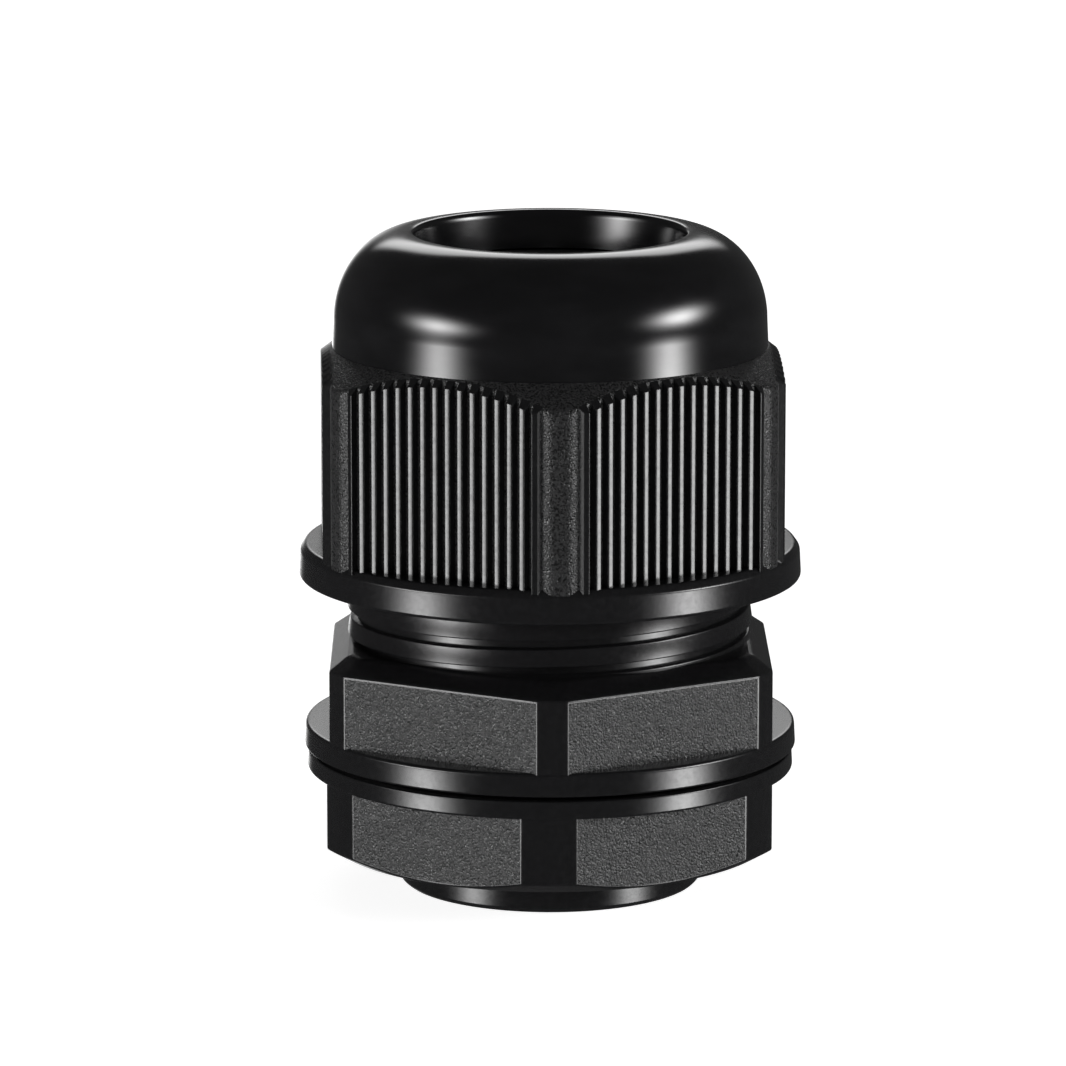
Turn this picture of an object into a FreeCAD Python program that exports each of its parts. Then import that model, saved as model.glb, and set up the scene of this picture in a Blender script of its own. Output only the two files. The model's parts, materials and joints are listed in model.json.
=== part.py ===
import FreeCAD, Part
import math
import os

# Cable gland for an M25 x 1.5 entry, upright: +Z runs from the wall thread up to the dome nut.
# The origin is the centre of the entry thread's lower end. Lengths are in millimetres.

# Gland body: entry side, a plain pilot end below the M25 x 1.5 thread
PILOT_RADIUS = 11.35
PILOT_CHAMFER = 0.3
PILOT_TOP = 2.3
ENTRY_ROOT_RADIUS = 11.58
ENTRY_CREST_RADIUS = 12.4
ENTRY_PITCH = 1.5
ENTRY_THREAD_START = 3.3
BODY_FLANGE_BOTTOM = 10.6
BODY_FLANGE_TOP = 12.35
BODY_FLANGE_RADIUS = 18.4
GASKET_GROOVE_INNER = 12.55
GASKET_GROOVE_OUTER = 17.6
GASKET_GROOVE_DEPTH = 0.65

# Gland body: spanner hexagon and shoulder
BODY_ACROSS_FLATS = 33.0
BODY_CORNER_RADIUS = 18.5
BODY_FLATS_TOP = 17.75
SHOULDER_TOP = 18.9
SHOULDER_INSET = 1.55
CAP_THREAD_RISE = 0.2

# Gland body: cap side
CAP_THREAD_ROOT_RADIUS = 14.55
CAP_THREAD_CREST_RADIUS = 15.25
CAP_PITCH = 2.0
BODY_TOP = 32.6
BODY_LEAD_IN = 0.9
CABLE_PASSAGE_RADIUS = 9.4
SEAL_POCKET_RADIUS = 11.25
SEAL_LEDGE = 24.0

# Dome nut
CAP_BOTTOM = 23.5
CAP_FLANGE_RADIUS = 18.85
CAP_FLANGE_EDGE_TOP = 25.5
CAP_FLANGE_TOP = 26.05
CAP_FLANGE_BEVEL = 0.5
CAP_ACROSS_VALLEYS = 33.0
CAP_RIB_HEIGHT = 0.6
CAP_CORNER_RADIUS = 18.65
CAP_TURN = 1.8
RIBS_PER_FLAT = 16
RIB_PITCH = 1.02
RIB_BASE_WIDTH = 0.56
RIB_TIP_WIDTH = 0.34
GRIP_CORNER_TOP = 39.1
DOME_START = 40.9
DOME_RADIUS = 16.3
DOME_CURVE_START = 42.92
DOME_CURVE_WIDTH = 5.58
DOME_CURVE_HEIGHT = 6.53
MOUTH_RADIUS = 9.75
MOUTH_LIP_RADIUS = 0.55
MOUTH_LIP_DROP = 0.02
SEAL_STOP = 46.6
CAP_BORE_RADIUS = 15.4
CAP_BORE_TOP = 37.4
CAP_BORE_SLOPE = 0.8
CAP_LEAD_IN = 0.7
CAP_THREAD_INSET = 1.2
CAP_THREAD_TIP_RADIUS = 14.7
CONE_BOTTOM = 39.6
CONE_BOTTOM_RADIUS = 13.65
CONE_TOP_RADIUS = 10.75

# Clamping fingers, moulded round the top of the gland body
FINGER_COUNT = 16
FINGER_SLOT = 1.0
FINGER_PIVOT_RADIUS = 12.35
FINGER_PIVOT_HEIGHT = 33.3
FINGER_FOOT_RADIUS = 0.55
FINGER_OUTER_RADIUS = 12.9
FINGER_INNER_RADIUS = 11.3
FINGER_INNER_START = 34.5
FINGER_EDGE_BREAK = 0.3
FINGER_TAPER_START = 38.3
FINGER_TOP = 40.9
FINGER_TIP_RADIUS = 12.25

# Sealing insert
SEAL_OUTER_RADIUS = 11.0
SEAL_NECK_RADIUS = 10.45
SEAL_NECK_START = 41.6
SEAL_NECK_SLOPE = 0.9
SEAL_BORE_RADIUS = 9.1
SEAL_BOTTOM = 24.1
SEAL_TOP = 46.4
SEAL_LEAD = 0.35

# Flat gasket
GASKET_OUTER_RADIUS = 17.3
GASKET_INNER_RADIUS = 12.75
GASKET_BOTTOM = 10.32
GASKET_TOP = 11.15

# Locknut
LOCKNUT_BOTTOM = 3.0
LOCKNUT_FLANGE_BOTTOM = 8.87
LOCKNUT_TOP = 10.22
LOCKNUT_FLANGE_RADIUS = 18.3
LOCKNUT_ACROSS_FLATS = 33.2
LOCKNUT_CORNER_RADIUS = 18.15
LOCKNUT_TURN = -0.8
LOCKNUT_CHAMFER_RADIUS = 16.6
LOCKNUT_CHAMFER_ANGLE = 30.0
LOCKNUT_BORE_RADIUS = 12.55
LOCKNUT_LEAD_IN = 0.5
LOCKNUT_THREAD_TIP_RADIUS = 11.75

# Trapezoidal thread between body and cap: widths of the groove at the crest and at the root
CAP_GROOVE_MOUTH = 0.95
CAP_GROOVE_FLOOR = 0.5
# Metric entry thread: width of the ridge at its crest, half angle of its flanks
ENTRY_CREST_WIDTH = 0.2
ENTRY_FLANK_ANGLE = 30.0
FLANK_GAP = 0.2
THREAD_END = 0.5

# Edge breaks, and how far joined shapes run into one another
EDGE_BREAK = 0.25
ROOT_OVERLAP = 0.25
BURY = 0.5
CLEAR = 1.0
HEX_TURN = 30.0
BODY_THREAD_PHASE = 222.0

UP = FreeCAD.Vector(0, 0, 1)
AXIS_POINT = FreeCAD.Vector(0, 0, 0)


def disc(radius, bottom, top):
    return Part.makeCylinder(radius, top - bottom, FreeCAD.Vector(0, 0, bottom))


def revolve(points):
    """Turn a closed outline of (radius, height) points about the Z axis."""
    corners = [FreeCAD.Vector(r, 0, z) for r, z in points]
    outline = Part.makePolygon(corners + corners[:1])
    return Part.Face(outline).revolve(AXIS_POINT, UP, 360)


def hexagon(across_flats, height):
    """Horizontal hexagon with a corner towards -Y."""
    radius = across_flats / math.sqrt(3)
    corners = []
    for step in range(6):
        angle = math.radians(HEX_TURN + 60 * step)
        corners.append(FreeCAD.Vector(radius * math.cos(angle), radius * math.sin(angle), height))
    return Part.makePolygon(corners + corners[:1])


def hex_prism(across_flats, bottom, top):
    face = Part.Face(hexagon(across_flats, bottom))
    return face.extrude(FreeCAD.Vector(0, 0, top - bottom))


def helical_ridge(base_radius, tip_radius, base_width, tip_width, pitch, bottom, turns, phase):
    """Right-hand ridge standing from base_radius to tip_radius, centred on its helix."""
    side = math.copysign(ROOT_OVERLAP, base_radius - tip_radius)
    slope = (base_width - tip_width) / abs(base_radius - tip_radius)
    buried_width = base_width + slope * ROOT_OVERLAP
    section = [
        FreeCAD.Vector(base_radius + side, 0, -buried_width / 2),
        FreeCAD.Vector(tip_radius, 0, -tip_width / 2),
        FreeCAD.Vector(tip_radius, 0, tip_width / 2),
        FreeCAD.Vector(base_radius + side, 0, buried_width / 2),
    ]
    outline = Part.makePolygon(section + section[:1])
    spine = Part.makeHelix(pitch, pitch * turns, base_radius)
    ridge = Part.Wire(spine).makePipeShell([outline], True, True)
    ridge.rotate(AXIS_POINT, UP, phase)
    ridge.translate(FreeCAD.Vector(0, 0, bottom))
    return ridge


def cap_thread_slope():
    depth = CAP_THREAD_CREST_RADIUS - CAP_THREAD_ROOT_RADIUS
    return (CAP_GROOVE_MOUTH - CAP_GROOVE_FLOOR) / depth


def entry_thread_slope():
    return 2 * math.tan(math.radians(ENTRY_FLANK_ANGLE))


def body_cap_thread():
    """Outside thread that the dome nut runs on. Its lower end fades into the shoulder."""
    bottom = BODY_FLATS_TOP + CAP_THREAD_RISE
    turns = (BODY_TOP - bottom) / CAP_PITCH
    ridge = helical_ridge(
        CAP_THREAD_ROOT_RADIUS,
        CAP_THREAD_CREST_RADIUS,
        CAP_PITCH - CAP_GROOVE_FLOOR,
        CAP_PITCH - CAP_GROOVE_MOUTH,
        CAP_PITCH,
        bottom,
        turns,
        BODY_THREAD_PHASE,
    )
    limit = revolve([
        (0, BODY_FLATS_TOP - CLEAR),
        (CAP_THREAD_CREST_RADIUS + CLEAR, BODY_FLATS_TOP - CLEAR),
        (CAP_THREAD_CREST_RADIUS + CLEAR, BODY_TOP - BODY_LEAD_IN - CLEAR),
        (CAP_THREAD_CREST_RADIUS - BODY_LEAD_IN, BODY_TOP),
        (0, BODY_TOP),
    ])
    return ridge.common(limit)


def body_entry_thread():
    """M25 x 1.5 thread for the locknut, from above the plain pilot to the flange."""
    depth = ENTRY_CREST_RADIUS - ENTRY_ROOT_RADIUS
    root_width = ENTRY_CREST_WIDTH + entry_thread_slope() * depth
    turns = (BODY_FLANGE_BOTTOM + BURY - ENTRY_THREAD_START) / ENTRY_PITCH
    ridge = helical_ridge(
        ENTRY_ROOT_RADIUS,
        ENTRY_CREST_RADIUS,
        root_width,
        ENTRY_CREST_WIDTH,
        ENTRY_PITCH,
        ENTRY_THREAD_START,
        turns,
        0,
    )
    return ridge.common(disc(ENTRY_CREST_RADIUS + CLEAR, 0, BODY_FLANGE_BOTTOM + EDGE_BREAK))


def body_shoulder():
    """Six-sided slope of flat faces from the top of the flats in to the thread."""
    lower = hexagon(BODY_ACROSS_FLATS, BODY_FLATS_TOP)
    upper = hexagon(BODY_ACROSS_FLATS - 2 * SHOULDER_INSET, SHOULDER_TOP)
    faces = [Part.Face(lower), Part.Face(upper)]
    for low, high in zip(lower.Edges, upper.Edges):
        low_start, low_end = (corner.Point for corner in low.Vertexes)
        high_start, high_end = (corner.Point for corner in high.Vertexes)
        side = Part.makePolygon([low_start, low_end, high_end, high_start, low_start])
        faces.append(Part.Face(side))
    return Part.Solid(Part.Shell(faces))


def gland_body():
    """Body in one moulding: entry thread, flange, spanner hexagon, cap thread, hollow inside."""
    flange = revolve([
        (0, BODY_FLANGE_BOTTOM),
        (BODY_FLANGE_RADIUS, BODY_FLANGE_BOTTOM),
        (BODY_FLANGE_RADIUS, BODY_FLANGE_TOP - EDGE_BREAK),
        (BODY_FLANGE_RADIUS - EDGE_BREAK, BODY_FLANGE_TOP),
        (0, BODY_FLANGE_TOP),
    ])
    hexagonal = hex_prism(BODY_ACROSS_FLATS, BODY_FLANGE_TOP - BURY, BODY_FLATS_TOP)
    hexagonal = hexagonal.fuse(body_shoulder())
    hexagonal = hexagonal.common(disc(BODY_CORNER_RADIUS, BODY_FLANGE_BOTTOM, SHOULDER_TOP + CLEAR))
    entry = revolve([
        (0, 0),
        (PILOT_RADIUS - PILOT_CHAMFER, 0),
        (PILOT_RADIUS, PILOT_CHAMFER),
        (PILOT_RADIUS, PILOT_TOP),
        (ENTRY_ROOT_RADIUS, PILOT_TOP + ENTRY_ROOT_RADIUS - PILOT_RADIUS),
        (ENTRY_ROOT_RADIUS, BODY_FLANGE_BOTTOM + BURY),
        (0, BODY_FLANGE_BOTTOM + BURY),
    ])
    neck = disc(CAP_THREAD_ROOT_RADIUS, BODY_FLANGE_TOP, BODY_TOP)
    body = flange.multiFuse([hexagonal, entry, neck, body_entry_thread(), body_cap_thread()])
    groove_top = BODY_FLANGE_BOTTOM + GASKET_GROOVE_DEPTH
    groove = disc(GASKET_GROOVE_OUTER, BODY_FLANGE_BOTTOM - BURY, groove_top)
    groove_core = disc(GASKET_GROOVE_INNER, BODY_FLANGE_BOTTOM - CLEAR, groove_top + CLEAR)
    groove = groove.cut(groove_core)
    passage = disc(CABLE_PASSAGE_RADIUS, -CLEAR, BODY_TOP + CLEAR)
    pocket = disc(SEAL_POCKET_RADIUS, SEAL_LEDGE, BODY_TOP + CLEAR)
    return body.cut(groove.multiFuse([passage, pocket]))


def finger_wedge():
    """Slice of the circle left for one finger between two parallel-sided slots."""
    half_angle = math.radians(180 / FINGER_COUNT)
    apex = FINGER_SLOT / 2 / math.sin(half_angle)
    reach = CAP_BORE_RADIUS
    corners = [
        FreeCAD.Vector(apex, 0, 0),
        FreeCAD.Vector(apex + reach * math.cos(half_angle), -reach * math.sin(half_angle), 0),
        FreeCAD.Vector(apex + reach * math.cos(half_angle), reach * math.sin(half_angle), 0),
    ]
    face = Part.Face(Part.makePolygon(corners + corners[:1]))
    return face.extrude(FreeCAD.Vector(0, 0, FINGER_TOP + CLEAR))


def clamping_finger(number):
    """One springy finger: a round foot at the bend line and a tip tapered to meet the cap's cone."""
    foot_left = FreeCAD.Vector(FINGER_PIVOT_RADIUS - FINGER_FOOT_RADIUS, 0, FINGER_PIVOT_HEIGHT)
    foot_low = FreeCAD.Vector(FINGER_PIVOT_RADIUS, 0, FINGER_PIVOT_HEIGHT - FINGER_FOOT_RADIUS)
    foot_right = FreeCAD.Vector(FINGER_PIVOT_RADIUS + FINGER_FOOT_RADIUS, 0, FINGER_PIVOT_HEIGHT)
    foot = Part.Arc(foot_left, foot_low, foot_right).toShape()
    rise = [
        foot_right,
        FreeCAD.Vector(FINGER_OUTER_RADIUS, 0, FINGER_TAPER_START),
        FreeCAD.Vector(FINGER_TIP_RADIUS, 0, FINGER_TOP),
        FreeCAD.Vector(FINGER_INNER_RADIUS + FINGER_EDGE_BREAK, 0, FINGER_TOP),
        FreeCAD.Vector(FINGER_INNER_RADIUS, 0, FINGER_TOP - FINGER_EDGE_BREAK),
        FreeCAD.Vector(FINGER_INNER_RADIUS, 0, FINGER_INNER_START),
        foot_left,
    ]
    edges = [foot] + Part.makePolygon(rise).Edges
    ring = Part.Face(Part.Wire(edges)).revolve(AXIS_POINT, UP, 360)
    finger = ring.common(finger_wedge())
    finger.rotate(AXIS_POINT, UP, number * 360 / FINGER_COUNT)
    return finger


def ribbed_outline(height):
    """Hexagon whose flats carry the raised grip ribs."""
    distance = CAP_ACROSS_VALLEYS / 2
    half_side = distance / math.sqrt(3)
    first = -RIB_PITCH * (RIBS_PER_FLAT - 1) / 2
    corners = []
    for flat in range(6):
        turn = math.radians(60 * flat)
        profile = [(-half_side, 0)]
        for rib in range(RIBS_PER_FLAT):
            middle = first + rib * RIB_PITCH
            profile.append((middle - RIB_BASE_WIDTH / 2, 0))
            profile.append((middle - RIB_TIP_WIDTH / 2, CAP_RIB_HEIGHT))
            profile.append((middle + RIB_TIP_WIDTH / 2, CAP_RIB_HEIGHT))
            profile.append((middle + RIB_BASE_WIDTH / 2, 0))
        for along, out in profile:
            x = (distance + out) * math.cos(turn) - along * math.sin(turn)
            y = (distance + out) * math.sin(turn) + along * math.cos(turn)
            corners.append(FreeCAD.Vector(x, y, height))
    return Part.makePolygon(corners + corners[:1])


def cap_grip():
    """Ribbed hexagonal grip, rounded at its corners and sloped off at the top."""
    face = Part.Face(ribbed_outline(CAP_FLANGE_EDGE_TOP))
    prism = face.extrude(FreeCAD.Vector(0, 0, DOME_START - CAP_FLANGE_EDGE_TOP))
    limit = revolve([
        (0, CAP_BOTTOM),
        (CAP_CORNER_RADIUS, CAP_BOTTOM),
        (CAP_CORNER_RADIUS, GRIP_CORNER_TOP),
        (DOME_RADIUS, DOME_START),
        (0, DOME_START),
    ])
    grip = prism.common(limit)
    grip.rotate(AXIS_POINT, UP, CAP_TURN)
    return grip


def cap_dome():
    """Flange disc, plain core and domed top with a rounded mouth."""
    land = DOME_RADIUS - DOME_CURVE_WIDTH
    crown = DOME_CURVE_START + DOME_CURVE_HEIGHT
    mouth_top = crown - MOUTH_LIP_DROP
    wall = [
        FreeCAD.Vector(0, 0, CAP_BOTTOM),
        FreeCAD.Vector(CAP_FLANGE_RADIUS - EDGE_BREAK, 0, CAP_BOTTOM),
        FreeCAD.Vector(CAP_FLANGE_RADIUS, 0, CAP_BOTTOM + EDGE_BREAK),
        FreeCAD.Vector(CAP_FLANGE_RADIUS, 0, CAP_FLANGE_EDGE_TOP),
        FreeCAD.Vector(CAP_FLANGE_RADIUS - CAP_FLANGE_BEVEL, 0, CAP_FLANGE_TOP),
        FreeCAD.Vector(DOME_RADIUS, 0, CAP_FLANGE_TOP),
        FreeCAD.Vector(DOME_RADIUS, 0, DOME_CURVE_START),
    ]
    centre = FreeCAD.Vector(land, 0, DOME_CURVE_START)
    ellipse = Part.Ellipse(
        FreeCAD.Vector(land, 0, crown),
        FreeCAD.Vector(DOME_RADIUS, 0, DOME_CURVE_START),
        centre,
    )
    start = ellipse.parameter(wall[-1])
    end = ellipse.parameter(FreeCAD.Vector(land, 0, crown))
    curve = Part.ArcOfEllipse(ellipse, min(start, end), max(start, end))
    if max(start, end) - min(start, end) > math.pi:
        curve = Part.ArcOfEllipse(ellipse, max(start, end), min(start, end) + 2 * math.pi)
    lip_centre = MOUTH_RADIUS + MOUTH_LIP_RADIUS
    lip_start = FreeCAD.Vector(lip_centre, 0, mouth_top)
    diagonal = MOUTH_LIP_RADIUS * math.sqrt(0.5)
    lip_middle = FreeCAD.Vector(
        lip_centre - diagonal, 0, mouth_top - MOUTH_LIP_RADIUS + diagonal)
    lip_end = FreeCAD.Vector(MOUTH_RADIUS, 0, mouth_top - MOUTH_LIP_RADIUS)
    land_point = FreeCAD.Vector(land, 0, crown)
    lip = Part.Arc(lip_start, lip_middle, lip_end).toShape()
    closing = Part.makePolygon([lip_end, FreeCAD.Vector(MOUTH_RADIUS, 0, SEAL_STOP),
                                FreeCAD.Vector(0, 0, SEAL_STOP), wall[0]]).Edges
    edges = Part.makePolygon(wall).Edges + [curve.toShape()]
    edges += Part.makePolygon([land_point, lip_start]).Edges + [lip] + closing
    return Part.Face(Part.Wire(edges)).revolve(AXIS_POINT, UP, 360)


def cap_cavity():
    """Space inside the dome nut: threaded bore, finger room, squeezing cone."""
    return revolve([
        (0, CAP_BOTTOM - CLEAR),
        (CAP_BORE_RADIUS + CAP_LEAD_IN, CAP_BOTTOM - CLEAR),
        (CAP_BORE_RADIUS + CAP_LEAD_IN, CAP_BOTTOM),
        (CAP_BORE_RADIUS, CAP_BOTTOM + CAP_LEAD_IN),
        (CAP_BORE_RADIUS, CAP_BORE_TOP),
        (CONE_BOTTOM_RADIUS, CAP_BORE_TOP + CAP_BORE_SLOPE),
        (CONE_BOTTOM_RADIUS, CONE_BOTTOM),
        (CONE_TOP_RADIUS, SEAL_STOP),
        (0, SEAL_STOP),
    ])


def cap_thread():
    """Inside thread of the dome nut, running in the body's groove with an even gap."""
    slope = cap_thread_slope()
    mouth_gap = CAP_BORE_RADIUS - CAP_THREAD_CREST_RADIUS
    tip_gap = CAP_THREAD_TIP_RADIUS - CAP_THREAD_ROOT_RADIUS
    base_width = CAP_GROOVE_MOUTH + slope * mouth_gap - 2 * FLANK_GAP
    tip_width = CAP_GROOVE_FLOOR + slope * tip_gap - 2 * FLANK_GAP
    # The nut's ridge lies half a pitch above the body's, on the same helix.
    lowest = BODY_FLATS_TOP + CAP_THREAD_RISE + CAP_PITCH / 2
    turns_below = math.ceil((CAP_BOTTOM + CAP_THREAD_INSET - lowest) / CAP_PITCH)
    bottom = lowest + turns_below * CAP_PITCH
    turns = (CAP_BORE_TOP - THREAD_END - bottom) / CAP_PITCH
    return helical_ridge(
        CAP_BORE_RADIUS,
        CAP_THREAD_TIP_RADIUS,
        base_width,
        tip_width,
        CAP_PITCH,
        bottom,
        turns,
        BODY_THREAD_PHASE,
    )


def dome_nut():
    outside = cap_dome().fuse(cap_grip())
    hollow = outside.cut(cap_cavity())
    return hollow.fuse(cap_thread())


def sealing_insert():
    """Rubber sleeve round the cable, with a neck that sits in the dome nut's cone."""
    return revolve([
        (SEAL_BORE_RADIUS + SEAL_LEAD, SEAL_BOTTOM),
        (SEAL_OUTER_RADIUS - EDGE_BREAK, SEAL_BOTTOM),
        (SEAL_OUTER_RADIUS, SEAL_BOTTOM + EDGE_BREAK),
        (SEAL_OUTER_RADIUS, SEAL_NECK_START),
        (SEAL_NECK_RADIUS, SEAL_NECK_START + SEAL_NECK_SLOPE),
        (SEAL_NECK_RADIUS, SEAL_TOP - EDGE_BREAK),
        (SEAL_NECK_RADIUS - EDGE_BREAK, SEAL_TOP),
        (SEAL_BORE_RADIUS + SEAL_LEAD, SEAL_TOP),
        (SEAL_BORE_RADIUS, SEAL_TOP - SEAL_LEAD),
        (SEAL_BORE_RADIUS, SEAL_BOTTOM + SEAL_LEAD),
    ])


def flat_gasket():
    ring = disc(GASKET_OUTER_RADIUS, GASKET_BOTTOM, GASKET_TOP)
    return ring.cut(disc(GASKET_INNER_RADIUS, GASKET_BOTTOM - CLEAR, GASKET_TOP + CLEAR))


def locknut_thread():
    """Inside thread of the locknut, running in the entry thread's groove with an even gap."""
    slope = entry_thread_slope()
    depth = ENTRY_CREST_RADIUS - ENTRY_ROOT_RADIUS
    groove_mouth = ENTRY_PITCH - ENTRY_CREST_WIDTH
    groove_floor = groove_mouth - slope * depth
    base_width = groove_mouth + slope * (LOCKNUT_BORE_RADIUS - ENTRY_CREST_RADIUS) - 2 * FLANK_GAP
    tip_gap = LOCKNUT_THREAD_TIP_RADIUS - ENTRY_ROOT_RADIUS
    tip_width = groove_floor + slope * tip_gap - 2 * FLANK_GAP
    bottom = ENTRY_THREAD_START + ENTRY_PITCH / 2
    turns = (LOCKNUT_TOP - THREAD_END - bottom) / ENTRY_PITCH
    return helical_ridge(
        LOCKNUT_BORE_RADIUS,
        LOCKNUT_THREAD_TIP_RADIUS,
        base_width,
        tip_width,
        ENTRY_PITCH,
        bottom,
        turns,
        0,
    )


def locknut():
    """Hexagon nut chamfered at the bottom, with a round flange at the top."""
    rise = math.tan(math.radians(LOCKNUT_CHAMFER_ANGLE))
    chamfer_top = LOCKNUT_BOTTOM + (LOCKNUT_CORNER_RADIUS - LOCKNUT_CHAMFER_RADIUS) * rise
    limit = revolve([
        (0, LOCKNUT_BOTTOM),
        (LOCKNUT_CHAMFER_RADIUS, LOCKNUT_BOTTOM),
        (LOCKNUT_CORNER_RADIUS, chamfer_top),
        (LOCKNUT_CORNER_RADIUS, LOCKNUT_TOP),
        (0, LOCKNUT_TOP),
    ])
    prism = hex_prism(LOCKNUT_ACROSS_FLATS, LOCKNUT_BOTTOM, LOCKNUT_FLANGE_BOTTOM + BURY)
    prism.rotate(AXIS_POINT, UP, LOCKNUT_TURN)
    nut = prism.common(limit)
    flange = revolve([
        (0, LOCKNUT_FLANGE_BOTTOM),
        (LOCKNUT_FLANGE_RADIUS - EDGE_BREAK, LOCKNUT_FLANGE_BOTTOM),
        (LOCKNUT_FLANGE_RADIUS, LOCKNUT_FLANGE_BOTTOM + EDGE_BREAK),
        (LOCKNUT_FLANGE_RADIUS, LOCKNUT_TOP),
        (0, LOCKNUT_TOP),
    ])
    bore = revolve([
        (0, LOCKNUT_BOTTOM - CLEAR),
        (LOCKNUT_BORE_RADIUS + LOCKNUT_LEAD_IN, LOCKNUT_BOTTOM - CLEAR),
        (LOCKNUT_BORE_RADIUS + LOCKNUT_LEAD_IN, LOCKNUT_BOTTOM),
        (LOCKNUT_BORE_RADIUS, LOCKNUT_BOTTOM + LOCKNUT_LEAD_IN),
        (LOCKNUT_BORE_RADIUS, LOCKNUT_TOP + CLEAR),
        (0, LOCKNUT_TOP + CLEAR),
    ])
    return nut.fuse(flange).cut(bore).fuse(locknut_thread())


def main():
    os.makedirs("parts", exist_ok=True)
    nodes = {
        "gland_body": gland_body(),
        "dome_nut": dome_nut(),
        "sealing_insert": sealing_insert(),
        "flat_gasket": flat_gasket(),
        "locknut": locknut(),
    }
    for number in range(FINGER_COUNT):
        nodes[f"clamping_finger_{number + 1:02d}"] = clamping_finger(number)
    for name, shape in nodes.items():
        solid = shape.removeSplitter()
        solid.exportStep(f"parts/{name}.step")
        print(name, len(solid.Solids), "solid", solid.isValid(), round(solid.Volume, 1), "mm3")


main()
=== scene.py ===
import json
import math

import bmesh
import bpy
from bpy.props import FloatProperty, FloatVectorProperty, IntProperty, PointerProperty
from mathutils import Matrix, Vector


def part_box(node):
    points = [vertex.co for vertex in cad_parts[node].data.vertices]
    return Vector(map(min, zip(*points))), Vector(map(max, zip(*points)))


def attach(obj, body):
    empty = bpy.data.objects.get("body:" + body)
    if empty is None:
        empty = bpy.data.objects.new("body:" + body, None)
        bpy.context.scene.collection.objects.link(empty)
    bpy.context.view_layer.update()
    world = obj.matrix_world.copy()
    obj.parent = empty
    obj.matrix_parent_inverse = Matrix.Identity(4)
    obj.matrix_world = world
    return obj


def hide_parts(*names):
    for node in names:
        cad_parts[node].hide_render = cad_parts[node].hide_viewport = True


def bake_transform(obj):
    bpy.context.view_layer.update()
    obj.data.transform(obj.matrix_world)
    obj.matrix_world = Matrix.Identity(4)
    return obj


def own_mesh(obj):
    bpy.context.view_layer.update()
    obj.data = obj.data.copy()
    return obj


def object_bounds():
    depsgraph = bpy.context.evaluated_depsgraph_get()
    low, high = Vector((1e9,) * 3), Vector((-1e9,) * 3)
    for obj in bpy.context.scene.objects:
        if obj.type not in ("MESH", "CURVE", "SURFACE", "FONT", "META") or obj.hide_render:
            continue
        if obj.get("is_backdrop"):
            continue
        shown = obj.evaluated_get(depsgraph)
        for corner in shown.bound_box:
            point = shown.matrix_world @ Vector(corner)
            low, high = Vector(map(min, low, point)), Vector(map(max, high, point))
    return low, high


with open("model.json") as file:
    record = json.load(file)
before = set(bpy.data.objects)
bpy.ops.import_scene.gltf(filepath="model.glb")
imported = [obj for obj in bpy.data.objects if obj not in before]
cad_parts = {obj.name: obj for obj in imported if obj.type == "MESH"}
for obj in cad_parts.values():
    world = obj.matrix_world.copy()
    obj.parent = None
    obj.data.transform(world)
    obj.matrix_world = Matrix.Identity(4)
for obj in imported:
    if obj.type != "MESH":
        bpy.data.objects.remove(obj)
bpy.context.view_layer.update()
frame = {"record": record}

bl_info = {
    "name": "Cable Gland",
    "version": (1, 0, 0),
    "blender": (4, 5, 0),
    "location": "View3D > Sidebar > Cable Gland",
    "description": "Builds the visible pieces of a plastic cable gland round its CAD frame",
    "category": "Add Mesh",
}

MM = 0.001
FINGERS = 16
FLATS = 6
FLAT_DEGREES = 60
ARC_STEPS = 4
ROUND_COLUMNS = 192

# How far each edge is rounded
HAIR_EDGE = 0.05 * MM
THIN_EDGE = 0.08 * MM
FINE_EDGE = 0.1 * MM
CRISP_EDGE = 0.12 * MM
BROKEN_EDGE = 0.14 * MM
SMALL_EDGE = 0.15 * MM
NEAT_EDGE = 0.16 * MM
ROUND_EDGE = 0.2 * MM
RUBBER_EDGE = 0.25 * MM
SOFT_EDGE = 0.3 * MM
EASED_EDGE = 0.35 * MM
WIDE_EDGE = 0.4 * MM
FULL_EDGE = 0.6 * MM

# How far a piece runs into the one it stands on, and the small rise or fall on the way
BURY = 0.1 * MM
HAIR_STEP = 0.02 * MM

# Where the upper thread starts round the axis, and how far below the bore's top it ends
THREAD_ANGLE = math.radians(222.0)
THREAD_END = 0.5 * MM
# Lean of the flanges' upright edges
EDGE_DRAFT = math.tan(math.radians(3.0))
# Brightness of the surroundings between the softboxes
ROOM_GLOW = 0.05
# Each: azimuth, elevation, half width, half height in degrees, edge sharpness, strength
SOFTBOXES = (
    (-63, 12, 13, 5.5, 2.0, 17.0),
    (74, 17, 13, 5.5, 2.0, 24.0),
    (-62, 2, 9, 6, 2.0, 2.0),
    (-61, -11, 10, 6, 2.0, 16.0),
    (65, -10, 10, 7, 2.0, 17.0),
    (180, 26.5, 17, 12, 8.0, 2.6),
    (-172, -12, 6, 12, 2.0, 3.0),
)

BODY_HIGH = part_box("gland_body")[1]
NUT_LOW, NUT_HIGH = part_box("dome_nut")
SEAL_LOW, SEAL_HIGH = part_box("sealing_insert")
GASKET_LOW, GASKET_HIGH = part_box("flat_gasket")
LOCK_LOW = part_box("locknut")[0]
FINGER_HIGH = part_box("clamping_finger_01")[1]


def thread_pitch(turn):
    """Rise per turn of a screw joint, from the frame's couplings."""
    for coupling in frame["record"]["behaviour"]["couplings"]:
        if coupling["joint"] == turn:
            return math.tau / coupling["ratio"]
    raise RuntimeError(f"no coupling drives {turn}")


CAP_PITCH = thread_pitch("cap_turn")
ENTRY_PITCH = thread_pitch("locknut_turn")


def size_prop(name, description, default):
    return FloatProperty(name=name, description=description, default=default,
                         min=0.0, unit="LENGTH", subtype="DISTANCE", precision=5)


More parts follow.
